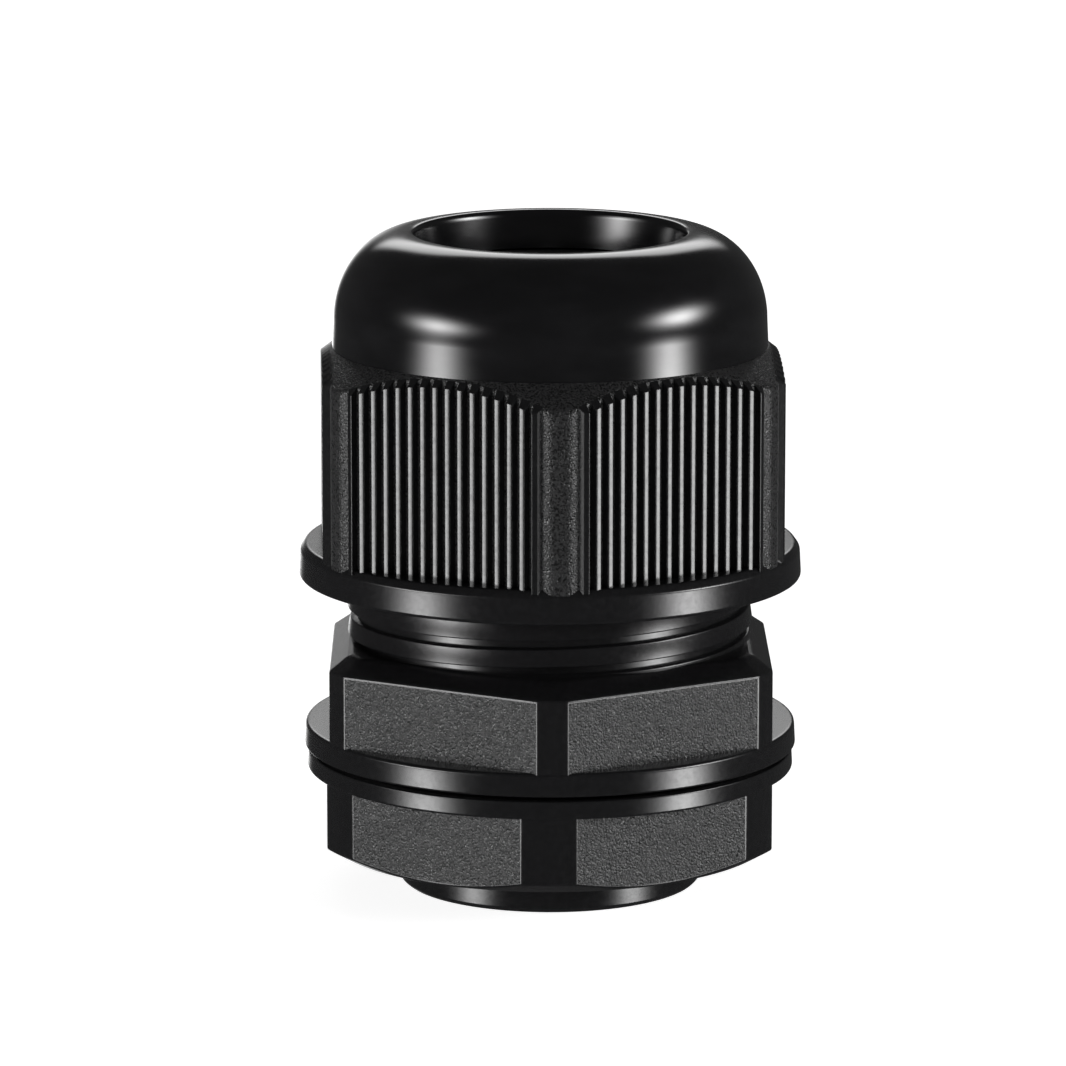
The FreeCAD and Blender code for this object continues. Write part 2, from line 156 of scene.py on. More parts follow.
def angle_prop(name, description, degrees):
    return FloatProperty(name=name, description=description, default=math.radians(degrees),
                         unit="ROTATION", subtype="ANGLE")


def colour_prop(name, description, default):
    return FloatVectorProperty(name=name, description=description, default=default,
                               size=3, min=0.0, max=1.0, subtype="COLOR")


class DomeNutSizes(bpy.types.PropertyGroup):
    flange_radius: size_prop("Flange radius", "Outside radius of the lower flange", NUT_HIGH.x)
    flange_edge: size_prop("Flange edge", "Height of the flange's upright edge", 2.0 * MM)
    flange_height: size_prop("Flange height", "Height of the flange with its bevel", 2.55 * MM)
    valley_width: size_prop("Grip width", "Grip across its flats, between the ribs", 33.0 * MM)
    corner_radius: size_prop("Corner radius", "Radius over the grip's corners", 18.65 * MM)
    corner_top: size_prop("Corner height", "Height of the grip at its corners", 39.1 * MM)
    ribs: IntProperty(name="Ribs", description="Grip ribs on each flat", default=16, min=1)
    rib_pitch: size_prop("Rib pitch", "Distance from rib to rib", 1.02 * MM)
    grip_turn: angle_prop("Grip turn", "How far the grip is turned from the body", 1.8)
    wall_lean: size_prop("Wall lean", "How far the dome's upright wall leans in", 0.1 * MM)
    rib_height: size_prop("Rib height", "How far a rib stands out", 0.6 * MM)
    rib_base: size_prop("Rib base", "Width of a rib at its foot", 0.64 * MM)
    rib_tip: size_prop("Rib tip", "Width of a rib at its top", 0.42 * MM)
    dome_start: size_prop("Dome start", "Height where the dome leaves the grip", 40.9 * MM)
    dome_radius: size_prop("Dome radius", "Radius of the dome's upright wall", 16.3 * MM)
    curve_width: size_prop("Dome curve width", "Width of the dome's rounding", 5.48 * MM)
    curve_height: size_prop("Dome curve height", "Height of the dome's rounding", 6.53 * MM)
    mouth_radius: size_prop("Mouth radius", "Radius of the cable mouth", 9.75 * MM)
    mouth_lip: size_prop("Mouth lip", "Rounding of the mouth's edge", 0.55 * MM)
    mouth_flare: size_prop("Mouth flare", "How much wider the mouth is at its top", 0.4 * MM)
    mouth_depth: size_prop("Mouth depth", "From the crown down to the seal's stop", 2.85 * MM)
    bore_radius: size_prop("Bore radius", "Radius of the threaded bore", 15.4 * MM)
    bore_depth: size_prop("Bore depth", "Length of the threaded bore", 13.9 * MM)
    bore_lead: size_prop("Bore lead-in", "Chamfer where the bore opens", 0.7 * MM)
    bore_slope: size_prop("Bore slope", "Height of the step above the bore", 0.8 * MM)
    cone_start: size_prop("Cone start", "From the bore's top up to the cone", 2.2 * MM)
    cone_low: size_prop("Cone lower radius", "Squeezing cone at its lower end", 13.65 * MM)
    cone_high: size_prop("Cone upper radius", "Squeezing cone at its upper end", 10.75 * MM)
    core_start: size_prop("Core start", "From the nut's underside up to the plain core", 1.2 * MM)
    flange_bevel: size_prop("Flange bevel", "Width of the flange's bevel", 0.5 * MM)
    thread_tip: size_prop("Thread tip radius", "Inner radius of the thread", 14.7 * MM)
    thread_base: size_prop("Thread base", "Width of the thread at its foot", 0.646 * MM)
    thread_crest: size_prop("Thread crest", "Width of the thread at its tip", 0.196 * MM)


class BodySizes(bpy.types.PropertyGroup):
    entry_radius: size_prop("Entry root radius", "Root radius of the entry thread", 11.58 * MM)
    pilot_radius: size_prop("Pilot radius", "Radius of the plain end below the thread", 11.35 * MM)
    pilot_chamfer: size_prop("Pilot chamfer", "Chamfer at the plain end", 0.3 * MM)
    pilot_top: size_prop("Pilot top", "Height of the plain end", 2.3 * MM)
    flange_radius: size_prop("Flange radius", "Radius of the wall flange", 18.5 * MM)
    flange_bottom: size_prop("Flange underside", "Height of the flange's underside", 10.6 * MM)
    flange_top: size_prop("Flange top", "Height of the flange's top", 12.35 * MM)
    across_flats: size_prop("Across flats", "Spanner size of the body", 32.9 * MM)
    corner_radius: size_prop("Corner radius", "Radius over the hexagon's corners", 18.42 * MM)
    flats_top: size_prop("Flats top", "Height of the flats' upper edge", 17.75 * MM)
    shoulder_top: size_prop("Shoulder top", "Height of the sloped shoulder", 18.9 * MM)
    shoulder_inset: size_prop("Shoulder inset", "How far the shoulder slopes in", 1.55 * MM)
    neck_radius: size_prop("Neck radius", "Root radius of the upper thread", 14.55 * MM)
    crest_radius: size_prop("Crest radius", "Crest radius of the upper thread", 15.25 * MM)
    thread_start: size_prop("Thread start", "Height where the upper thread starts", 17.95 * MM)
    passage_radius: size_prop("Passage radius", "Radius of the cable passage", 9.4 * MM)
    pocket_radius: size_prop("Pocket radius", "Radius of the seal's pocket", 11.25 * MM)
    entry_crest: size_prop("Entry crest radius", "Crest radius of the entry thread", 12.4 * MM)
    entry_start: size_prop("Entry thread start", "Height where it starts", 3.3 * MM)
    passage_lead: size_prop("Passage lead-in", "Chamfer of the cable passage", 0.35 * MM)
    ledge_gap: size_prop("Ledge gap", "From the seal down to its ledge", 0.1 * MM)
    groove_inner: size_prop("Groove inner radius", "Inside of the gasket groove", 12.55 * MM)
    groove_outer: size_prop("Groove outer radius", "Outside of the gasket groove", 17.6 * MM)
    groove_depth: size_prop("Groove depth", "Depth of the gasket groove", 0.65 * MM)
    crest_lean: size_prop("Crest lean", "How far a crest's upper edge stands back", 0.2 * MM)
    thread_base: size_prop("Thread base", "Upper thread's width at its foot", 1.5 * MM)
    thread_crest: size_prop("Thread crest", "Upper thread's width at its tip", 1.33 * MM)
    thread_stop: size_prop("Thread stop", "From the neck's top down to its thread", 0.7 * MM)
    entry_base: size_prop("Entry thread base", "Entry thread's width at its foot", 1.147 * MM)
    entry_tip: size_prop("Entry thread crest", "Entry thread's width at its tip", 0.2 * MM)


class LocknutSizes(bpy.types.PropertyGroup):
    across_flats: size_prop("Across flats", "Spanner size of the locknut", 33.2 * MM)
    corner_radius: size_prop("Corner radius", "Radius over the corner strips", 18.15 * MM)
    turn: angle_prop("Turn", "How far the locknut is turned from the body", -0.8)
    chamfer_radius: size_prop("Chamfer radius", "Radius of the lower face", 16.6 * MM)
    top: size_prop("Top", "Height of the collar's top face", 10.22 * MM)
    flange_height: size_prop("Collar height", "Height of the flange collar", 1.35 * MM)
    flange_radius: size_prop("Collar radius", "Radius of the flange collar", 18.3 * MM)
    bore_radius: size_prop("Bore radius", "Radius of the threaded bore", 12.55 * MM)
    thread_tip: size_prop("Thread tip radius", "Inner radius of the thread", 11.75 * MM)
    thread_base: size_prop("Thread base", "Width of the thread at its foot", 1.073 * MM)
    thread_crest: size_prop("Thread crest", "Width of the thread at its tip", 0.149 * MM)
    thread_stop: size_prop("Thread stop", "From the top face down to the thread", 0.8 * MM)
    bore_lead: size_prop("Bore lead-in", "Chamfer of the bore's lower end", 0.5 * MM)
    collar_lead: size_prop("Collar lead-in", "Chamfer of the bore's upper end", 0.2 * MM)


class FingerSizes(bpy.types.PropertyGroup):
    slot: size_prop("Slot", "Gap between two fingers", 1.0 * MM)
    pivot_radius: size_prop("Bend radius", "Distance of the bend line from the axis", 12.35 * MM)
    pivot_height: size_prop("Bend height", "Height of the bend line", 33.3 * MM)
    root_width: size_prop("Root thickness", "Thickness at the bend line", 1.1 * MM)
    root_depth: size_prop("Root depth", "How far a finger reaches into the body", 0.4 * MM)
    inner_radius: size_prop("Inner radius", "Inside radius of the fingers", 11.3 * MM)
    outer_radius: size_prop("Outer radius", "Outside radius of the fingers", 12.9 * MM)
    taper_start: size_prop("Taper start", "Height where the tip's taper starts", 38.3 * MM)
    tip_radius: size_prop("Tip radius", "Outside radius at the tip", 12.25 * MM)
    bend_reach: size_prop("Bend reach", "How far the bend runs up and down", 0.5 * MM)
    bend_row: size_prop("Bend row", "From the bend line down to the next row", 0.3 * MM)
    outer_rise: size_prop("Outer rise", "From the bend up to the outside slope", 0.6 * MM)
    inner_rise: size_prop("Inner rise", "From the bend up to the inside wall", 1.2 * MM)


class SealSizes(bpy.types.PropertyGroup):
    bore: size_prop("Bore radius", "Radius of the hole for the cable", 9.1 * MM)
    neck: size_prop("Neck radius", "Outside radius of the neck", 10.45 * MM)
    neck_start: size_prop("Neck start", "From the insert's foot up to its neck", 17.5 * MM)
    neck_slope: size_prop("Neck slope", "Height of the slope up to the neck", 0.9 * MM)
    gasket_bore: size_prop("Gasket bore", "Inside radius of the flat gasket", 12.75 * MM)


class Finishes(bpy.types.PropertyGroup):
    gloss_colour: colour_prop("Polished nylon", "Colour of the polished dome",
                              (0.006, 0.006, 0.0065))
    grain_colour: colour_prop("Grained nylon", "Colour of the spark-eroded flats",
                              (0.007, 0.007, 0.0072))
    satin_colour: colour_prop("Satin nylon", "Colour of flanges, ribs, threads and fingers",
                              (0.007, 0.007, 0.0075))
    rubber_colour: colour_prop("Rubber", "Colour of seal and gasket", (0.012, 0.012, 0.012))
    grain_size: size_prop("Grain size", "Size of the spark-eroded grain", 0.15 * MM)
    grain_depth: size_prop("Grain depth", "Depth of the spark-eroded grain", 0.07 * MM)
    gloss_depth: size_prop("Ripple depth", "Depth of the dome's faint ripple", 0.01 * MM)
    satin_depth: size_prop("Speckle depth", "Depth of the satin speckle", 0.012 * MM)
    rubber_size: size_prop("Rubber grain", "Size of the rubber's grain", 0.3 * MM)
    rubber_depth: size_prop("Rubber depth", "Depth of the rubber's grain", 0.02 * MM)


class StageSizes(bpy.types.PropertyGroup):
    camera_distance: size_prop("Camera distance", "From the aim to the camera", 0.5034)
    camera_height: FloatProperty(name="Camera elevation", description="Camera above the horizon",
                                 default=math.radians(11.62), subtype="ANGLE")
    camera_side: FloatProperty(name="Camera turn", description="Camera round the gland",
                               default=math.radians(-0.4), subtype="ANGLE")
    focal_length: FloatProperty(name="Focal length", description="Lens in millimetres",
                                default=226.5, unit="CAMERA")
    aim: FloatVectorProperty(name="Aim", description="Point in the middle of the view",
                             default=(-1.28 * MM, 0.0, 26.5 * MM), size=3, subtype="TRANSLATION")
    floor_size: size_prop("Floor", "Width of the floor", 6.0)
    floor_colour: colour_prop("Floor colour", "Colour of the floor", (0.92, 0.92, 0.92))


# Node building


def add_node(tree, kind, **settings):
    node = tree.nodes.new(kind)
    for key, value in settings.items():
        setattr(node, key, value)
    return node


def feed(tree, socket, value):
    """Link a socket, or set its constant."""
    if isinstance(value, bpy.types.NodeSocket):
        tree.links.new(value, socket)
    elif value is not None:
        socket.default_value = value


def calc(tree, operation, *values):
    """One Math node; each value is a socket or a number."""
    node = add_node(tree, "ShaderNodeMath", operation=operation)
    for socket, value in zip(node.inputs, values):
        feed(tree, socket, value)
    return node.outputs[0]


def group_inputs(tree, sockets):
    """Declare named inputs as (name, socket type, default) and return the input node."""
    for name, kind, default in sockets:
        made = tree.interface.new_socket(name=name, in_out="INPUT", socket_type=kind)
        if default is not None:
            made.default_value = default
    return tree.nodes.new("NodeGroupInput")


def socket_id(tree, name):
    for item in tree.interface.items_tree:
        if item.item_type == "SOCKET" and item.in_out == "INPUT" and item.name == name:
            return item.identifier
    raise KeyError(name)


# Shader groups


def grain_group():
    """Spark-eroded grain: fine pits over a slower swell."""
    tree = bpy.data.node_groups.get("Moulding grain")
    if tree:
        return tree
    tree = bpy.data.node_groups.new("Moulding grain", "ShaderNodeTree")
    source = group_inputs(tree, [
        ("Size", "NodeSocketFloat", 0.17 * MM),
        ("Contrast", "NodeSocketFloat", 1.0),
    ])
    for name in ("Height", "Mask", "Swell"):
        tree.interface.new_socket(name=name, in_out="OUTPUT", socket_type="NodeSocketFloat")
    place = add_node(tree, "ShaderNodeTexCoord").outputs["Object"]
    scale = calc(tree, "DIVIDE", 1.0, source.outputs["Size"])
    fine = add_node(tree, "ShaderNodeTexNoise", noise_dimensions="3D")
    fine.inputs["Detail"].default_value = 1.5
    fine.inputs["Roughness"].default_value = 0.6
    feed(tree, fine.inputs["Vector"], place)
    feed(tree, fine.inputs["Scale"], scale)
    pits = add_node(tree, "ShaderNodeTexVoronoi", feature="F1")
    feed(tree, pits.inputs["Vector"], place)
    feed(tree, pits.inputs["Scale"], calc(tree, "MULTIPLY", scale, 0.8))
    mixed = calc(tree, "MULTIPLY_ADD", pits.outputs["Distance"], -0.45,
                 calc(tree, "MULTIPLY", fine.outputs["Fac"], source.outputs["Contrast"]))
    swell = add_node(tree, "ShaderNodeTexNoise", noise_dimensions="3D")
    feed(tree, swell.inputs["Vector"], place)
    feed(tree, swell.inputs["Scale"], calc(tree, "MULTIPLY", scale, 0.05))
    specks = add_node(tree, "ShaderNodeMapRange")
    specks.inputs["From Min"].default_value = 0.38
    specks.inputs["From Max"].default_value = 0.62
    feed(tree, specks.inputs["Value"], fine.outputs["Fac"])
    sink = tree.nodes.new("NodeGroupOutput")
    feed(tree, sink.inputs["Height"], mixed)
    feed(tree, sink.inputs["Mask"], specks.outputs["Result"])
    feed(tree, sink.inputs["Swell"], swell.outputs["Fac"])
    return tree


def scuff_group():
    """Faint rub marks of moulding and handling, as a mask and a height."""
    tree = bpy.data.node_groups.get("Rub marks")
    if tree:
        return tree
    tree = bpy.data.node_groups.new("Rub marks", "ShaderNodeTree")
    source = group_inputs(tree, [
        ("Scale", "NodeSocketFloat", 260.0),
        ("Stretch", "NodeSocketFloat", 9.0),
    ])
    for name in ("Mask", "Height"):
        tree.interface.new_socket(name=name, in_out="OUTPUT", socket_type="NodeSocketFloat")
    place = add_node(tree, "ShaderNodeTexCoord").outputs["Object"]
    split = add_node(tree, "ShaderNodeSeparateXYZ")
    feed(tree, split.inputs[0], place)
    joined = add_node(tree, "ShaderNodeCombineXYZ")
    feed(tree, joined.inputs["X"], split.outputs["X"])
    feed(tree, joined.inputs["Y"], split.outputs["Y"])
    feed(tree, joined.inputs["Z"],
         calc(tree, "MULTIPLY", split.outputs["Z"], source.outputs["Stretch"]))
    marks = add_node(tree, "ShaderNodeTexNoise", noise_dimensions="3D")
    marks.inputs["Detail"].default_value = 4.0
    marks.inputs["Roughness"].default_value = 0.65
    feed(tree, marks.inputs["Vector"], joined.outputs[0])
    feed(tree, marks.inputs["Scale"], source.outputs["Scale"])
    mask = add_node(tree, "ShaderNodeMapRange")
    mask.inputs["From Min"].default_value = 0.42
    mask.inputs["From Max"].default_value = 0.72
    feed(tree, mask.inputs["Value"], marks.outputs["Fac"])
    sink = tree.nodes.new("NodeGroupOutput")
    feed(tree, sink.inputs["Mask"], mask.outputs["Result"])
    feed(tree, sink.inputs["Height"], marks.outputs["Fac"])
    return tree


def glow_group():
    """Soft-edged patch of light; azimuth 0 is the front, positive to its right."""
    tree = bpy.data.node_groups.get("Softbox glow")
    if tree:
        return tree
    tree = bpy.data.node_groups.new("Softbox glow", "ShaderNodeTree")
    source = group_inputs(tree, [
        ("Azimuth", "NodeSocketFloat", 0.0),
        ("Elevation", "NodeSocketFloat", 0.0),
        ("Half Width", "NodeSocketFloat", 0.3),
        ("Half Height", "NodeSocketFloat", 0.2),
        ("Edge", "NodeSocketFloat", 2.0),
        ("Strength", "NodeSocketFloat", 1.0),
    ]).outputs
    tree.interface.new_socket(name="Glow", in_out="OUTPUT", socket_type="NodeSocketFloat")
    split = add_node(tree, "ShaderNodeSeparateXYZ")
    feed(tree, split.inputs[0], add_node(tree, "ShaderNodeTexCoord").outputs["Generated"])
    x, y, z = split.outputs
    cosine = calc(tree, "COSINE", source["Azimuth"])
    sine = calc(tree, "SINE", source["Azimuth"])
    right = calc(tree, "MULTIPLY_ADD", x, cosine, calc(tree, "MULTIPLY", y, sine))
    ahead = calc(tree, "SUBTRACT", calc(tree, "MULTIPLY", x, sine),
                 calc(tree, "MULTIPLY", y, cosine))
    aside = calc(tree, "ARCTAN2", right, ahead)
    above = calc(tree, "SUBTRACT", calc(tree, "ARCSINE", z), source["Elevation"])

    def fall(offset, reach):
        share = calc(tree, "ABSOLUTE", calc(tree, "DIVIDE", offset, reach))
        return calc(tree, "POWER", share, source["Edge"])

    away = calc(tree, "ADD", fall(aside, source["Half Width"]), fall(above, source["Half Height"]))
    patch = calc(tree, "EXPONENT", calc(tree, "MULTIPLY", away, -1.0))
    sink = tree.nodes.new("NodeGroupOutput")
    feed(tree, sink.inputs["Glow"], calc(tree, "MULTIPLY", patch, source["Strength"]))
    return tree


def place_group(tree, group, **values):
    node = add_node(tree, "ShaderNodeGroup", node_tree=group)
    for key, value in values.items():
        node.inputs[key].default_value = value
    return node


def ranged(tree, value, low, high):
    node = add_node(tree, "ShaderNodeMapRange")
    feed(tree, node.inputs["Value"], value)
    node.inputs["To Min"].default_value = low
    node.inputs["To Max"].default_value = high
    return node.outputs["Result"]


def tinted(tree, mask, colour, lift):
    """Colour that grows lighter by lift where the mask is high."""
    mix = add_node(tree, "ShaderNodeMix", data_type="RGBA")
    feed(tree, mix.inputs["Factor"], mask)
    mix.inputs["A"].default_value = (*colour, 1.0)
    mix.inputs["B"].default_value = (*[min(1.0, c * lift) for c in colour], 1.0)
    return mix.outputs["Result"]


def surface(name):
    """New material: its tree and its Principled shader."""
    material = bpy.data.materials.new(name)
    material.use_nodes = True
    return material, material.node_tree, material.node_tree.nodes["Principled BSDF"]


def bumped(tree, shader, height, distance, strength):
    bump = add_node(tree, "ShaderNodeBump")
    bump.inputs["Distance"].default_value = distance
    bump.inputs["Strength"].default_value = strength
    feed(tree, bump.inputs["Height"], height)
    feed(tree, shader.inputs["Normal"], bump.outputs["Normal"])


def polished_nylon():
    """Dome: polished mould face with a faint ripple."""
    found = bpy.data.materials.get("Polished black nylon")
    if found:
        return found
    finishes = bpy.context.scene.gland_finishes
    material, tree, shader = surface("Polished black nylon")
    rubs = place_group(tree, scuff_group(), Scale=170.0, Stretch=3.0)
    feed(tree, shader.inputs["Base Color"],
         tinted(tree, rubs.outputs["Mask"], finishes.gloss_colour, 1.6))
    feed(tree, shader.inputs["Roughness"], ranged(tree, rubs.outputs["Mask"], 0.13, 0.17))
    shader.inputs["IOR"].default_value = 1.53
    bumped(tree, shader, rubs.outputs["Height"], finishes.gloss_depth, 0.25)
    return material


def grained_nylon():
    """Flats and grip: fine spark-eroded grain that scatters the light."""
    found = bpy.data.materials.get("Grained black nylon")
    if found:
        return found
    finishes = bpy.context.scene.gland_finishes
    material, tree, shader = surface("Grained black nylon")
    grain = place_group(tree, grain_group(), Size=finishes.grain_size, Contrast=1.0)
    feed(tree, shader.inputs["Base Color"],
         tinted(tree, grain.outputs["Mask"], finishes.grain_colour, 4.0))
    feed(tree, shader.inputs["Roughness"], ranged(tree, grain.outputs["Mask"], 0.22, 0.48))
    shader.inputs["IOR"].default_value = 1.53
    bumped(tree, shader, grain.outputs["Height"], finishes.grain_depth, 1.0)
    return material


def satin_nylon():
    """Flanges, ribs, threads, fingers and corners: smooth with a fine speckle."""
    found = bpy.data.materials.get("Satin black nylon")
    if found:
        return found
    finishes = bpy.context.scene.gland_finishes
    material, tree, shader = surface("Satin black nylon")
    rubs = place_group(tree, scuff_group(), Scale=2600.0, Stretch=1.0)
    feed(tree, shader.inputs["Base Color"],
         tinted(tree, rubs.outputs["Mask"], finishes.satin_colour, 1.5))
    feed(tree, shader.inputs["Roughness"], ranged(tree, rubs.outputs["Mask"], 0.20, 0.26))
    shader.inputs["IOR"].default_value = 1.53
    bumped(tree, shader, rubs.outputs["Height"], finishes.satin_depth, 0.3)
    return material


def seal_rubber():
    """Insert and gasket: matte rubber with a dusty bloom."""
    found = bpy.data.materials.get("Seal rubber")
    if found:
        return found
    finishes = bpy.context.scene.gland_finishes
    material, tree, shader = surface("Seal rubber")
    grain = place_group(tree, grain_group(), Size=finishes.rubber_size, Contrast=0.8)
    feed(tree, shader.inputs["Base Color"],
         tinted(tree, grain.outputs["Swell"], finishes.rubber_colour, 2.4))
    feed(tree, shader.inputs["Roughness"], ranged(tree, grain.outputs["Mask"], 0.55, 0.72))
    shader.inputs["IOR"].default_value = 1.5
    bumped(tree, shader, grain.outputs["Height"], finishes.rubber_depth, 0.5)
    return material


# Mesh building


def rounded(section):
    """Outline of (radius, height, rounding) turned into points, each rounding into a small arc."""
    points = []
    for index, (radius, height, rounding) in enumerate(section):
        here = Vector((radius, height))
        if rounding <= 0:
            points.append(here)
            continue
        before = Vector(section[index - 1][:2]) - here
        after = Vector(section[(index + 1) % len(section)][:2]) - here
        start = here + before.normalized() * min(rounding, before.length * 0.45)
        end = here + after.normalized() * min(rounding, after.length * 0.45)
        for step in range(ARC_STEPS + 1):
            share = step / ARC_STEPS
            points.append(start * (1 - share) ** 2 + here * 2 * share * (1 - share)
                          + end * share ** 2)
    return points


def new_piece(name, mesh, material):
    mesh.materials.clear()
    mesh.materials.append(material)
    piece = bpy.data.objects.new(name, mesh)
    bpy.context.scene.collection.objects.link(piece)
    return piece


def finish_mesh(mesh, sharp_degrees=38.0):
    """Merge, close, turn faces outwards and shade smooth except at sharp edges."""
    shape = bmesh.new()
    shape.from_mesh(mesh)
    bmesh.ops.remove_doubles(shape, verts=shape.verts, dist=1e-7)
    bmesh.ops.dissolve_degenerate(shape, edges=shape.edges, dist=1e-8)
    bmesh.ops.recalc_face_normals(shape, faces=shape.faces)
    shape.to_mesh(mesh)
    shape.free()
    mesh.shade_smooth()
    mesh.set_sharp_from_angle(angle=math.radians(sharp_degrees))
    mesh.update()


def weigh_normals(piece):
    """Let large faces keep flat highlights beside their small roundings."""
    weighting = piece.modifiers.new("Even highlights", "WEIGHTED_NORMAL")
    weighting.weight = 50
    weighting.keep_sharp = True


def ring_mesh(name, angles, sections):
    """Skin closed sections, one standing on each angle round the axis."""
    verts, faces = [], []
    for angle, section in zip(angles, sections):
        cosine, sine = math.cos(angle), math.sin(angle)
        verts += [(p.x * cosine, p.x * sine, p.y) for p in section]
    rows = len(sections[0])
    columns = len(angles)
    for column in range(columns):
        following = (column + 1) % columns
        for row in range(rows):
            above = (row + 1) % rows
            faces.append((column * rows + row, following * rows + row,
                          following * rows + above, column * rows + above))
    mesh = bpy.data.meshes.new(name)
    mesh.from_pydata(verts, [], faces)
    finish_mesh(mesh)
    return mesh


def turned(name, section, columns=ROUND_COLUMNS):
    """Turned shape: one section all the way round."""
    points = rounded(section)
    angles = [math.tau * i / columns for i in range(columns)]
    return ring_mesh(name, angles, [points] * columns)


def hex_columns(across_flats, corner_radius, edge, turn=0.0):
    """(angle, radius) round a hexagon with cut corners and softened edges, a flat facing +X."""
    apothem = across_flats / 2
    half_flat = math.acos(apothem / corner_radius)
    columns = []
    for flat in range(FLATS):
        middle = math.radians(FLAT_DEGREES * flat) + turn
        start, end = middle - half_flat, middle + half_flat
        following = middle + math.radians(FLAT_DEGREES) - half_flat

        def on_corner(angle):
            return Vector((corner_radius * math.cos(angle), corner_radius * math.sin(angle)))

        def softened(vertex, before, after):
            a = vertex + (before - vertex).normalized() * edge
            b = vertex + (after - vertex).normalized() * edge
            for step in range(ARC_STEPS + 1):
                share = step / ARC_STEPS
                yield a * (1 - share) ** 2 + vertex * 2 * share * (1 - share) + b * share ** 2

        before_land = on_corner(start - (math.radians(FLAT_DEGREES) - 2 * half_flat) / 2)
        after_land = on_corner((end + following) / 2)
        points = list(softened(on_corner(start), before_land, on_corner(end)))
        steps = 12
        first, last = on_corner(start), on_corner(end)
        points += [first.lerp(last, (i + 1) / (steps + 1)) for i in range(steps)]
        points += list(softened(on_corner(end), on_corner(start), after_land))
        lands = 5
        points += [on_corner(end + (following - end) * (i + 1) / (lands + 1)) for i in range(lands)]
        columns += [(math.atan2(p.y, p.x) % math.tau, p.length) for p in points]
    columns.sort()
    return columns


def hex_mesh(name, columns, section_of):
    """Shape whose section depends on the hexagon's radius at each angle."""
    sections = [rounded(section_of(radius)) for _, radius in columns]
    return ring_mesh(name, [angle for angle, _ in columns], sections)


def bar_mesh(name, outline, length, rows):
    """Closed bar along +X with an (across, up) outline, to be bent by a node tree."""
    count = len(outline)
    verts = [(length * row / rows, p[0], p[1]) for row in range(rows + 1) for p in outline]
    faces = []
    for row in range(rows):
        for i in range(count):
            j = (i + 1) % count
            faces.append((row * count + i, row * count + j,
                          (row + 1) * count + j, (row + 1) * count + i))
    faces.append(tuple(reversed(range(count))))
    faces.append(tuple(rows * count + i for i in range(count)))
    mesh = bpy.data.meshes.new(name)
    mesh.from_pydata(verts, [], faces)
    mesh.update()
    return mesh


# Geometry Nodes


def thread_tree():
    """Winds a straight bar into a right-hand thread that fades out at both ends."""
    tree = bpy.data.node_groups.get("Wind a thread")
    if tree:
        return tree
    tree = bpy.data.node_groups.new("Wind a thread", "GeometryNodeTree")
    tree.interface.new_socket(name="Geometry", in_out="OUTPUT", socket_type="NodeSocketGeometry")
    source = group_inputs(tree, [
        ("Geometry", "NodeSocketGeometry", None),
        ("Root Radius", "NodeSocketFloat", 0.01),
        ("Pitch", "NodeSocketFloat", 0.002),
        ("Turns", "NodeSocketFloat", 3.0),
        ("Start Height", "NodeSocketFloat", 0.0),
        ("Start Angle", "NodeSocketFloat", 0.0),
        ("Fade Turns", "NodeSocketFloat", 0.1),
        ("Material", "NodeSocketMaterial", None),
    ])
    inputs = source.outputs
    split = add_node(tree, "ShaderNodeSeparateXYZ")
    feed(tree, split.inputs[0], add_node(tree, "GeometryNodeInputPosition").outputs[0])
    along, out, up = split.outputs
    turn = calc(tree, "MULTIPLY", along, inputs["Turns"])
    left = calc(tree, "SUBTRACT", inputs["Turns"], turn)
    nearest = calc(tree, "MINIMUM", turn, left)
    grown = calc(tree, "MINIMUM", 1.0, calc(tree, "DIVIDE", nearest, inputs["Fade Turns"]))
    grown = calc(tree, "SMOOTH_MIN", grown, 1.0, 0.2)
    radius = calc(tree, "MULTIPLY_ADD", out, grown, inputs["Root Radius"])
    angle = calc(tree, "MULTIPLY_ADD", turn, math.tau, inputs["Start Angle"])
    rise = calc(tree, "MULTIPLY_ADD", turn, inputs["Pitch"], inputs["Start Height"])
    place = add_node(tree, "ShaderNodeCombineXYZ")
    feed(tree, place.inputs["X"], calc(tree, "MULTIPLY", radius, calc(tree, "COSINE", angle)))
    feed(tree, place.inputs["Y"], calc(tree, "MULTIPLY", radius, calc(tree, "SINE", angle)))
    feed(tree, place.inputs["Z"], calc(tree, "ADD", rise, up))
    move = add_node(tree, "GeometryNodeSetPosition")
    feed(tree, move.inputs["Geometry"], inputs["Geometry"])
    feed(tree, move.inputs["Position"], place.outputs[0])
    end_tree(tree, move.outputs[0], inputs["Material"])
    return tree


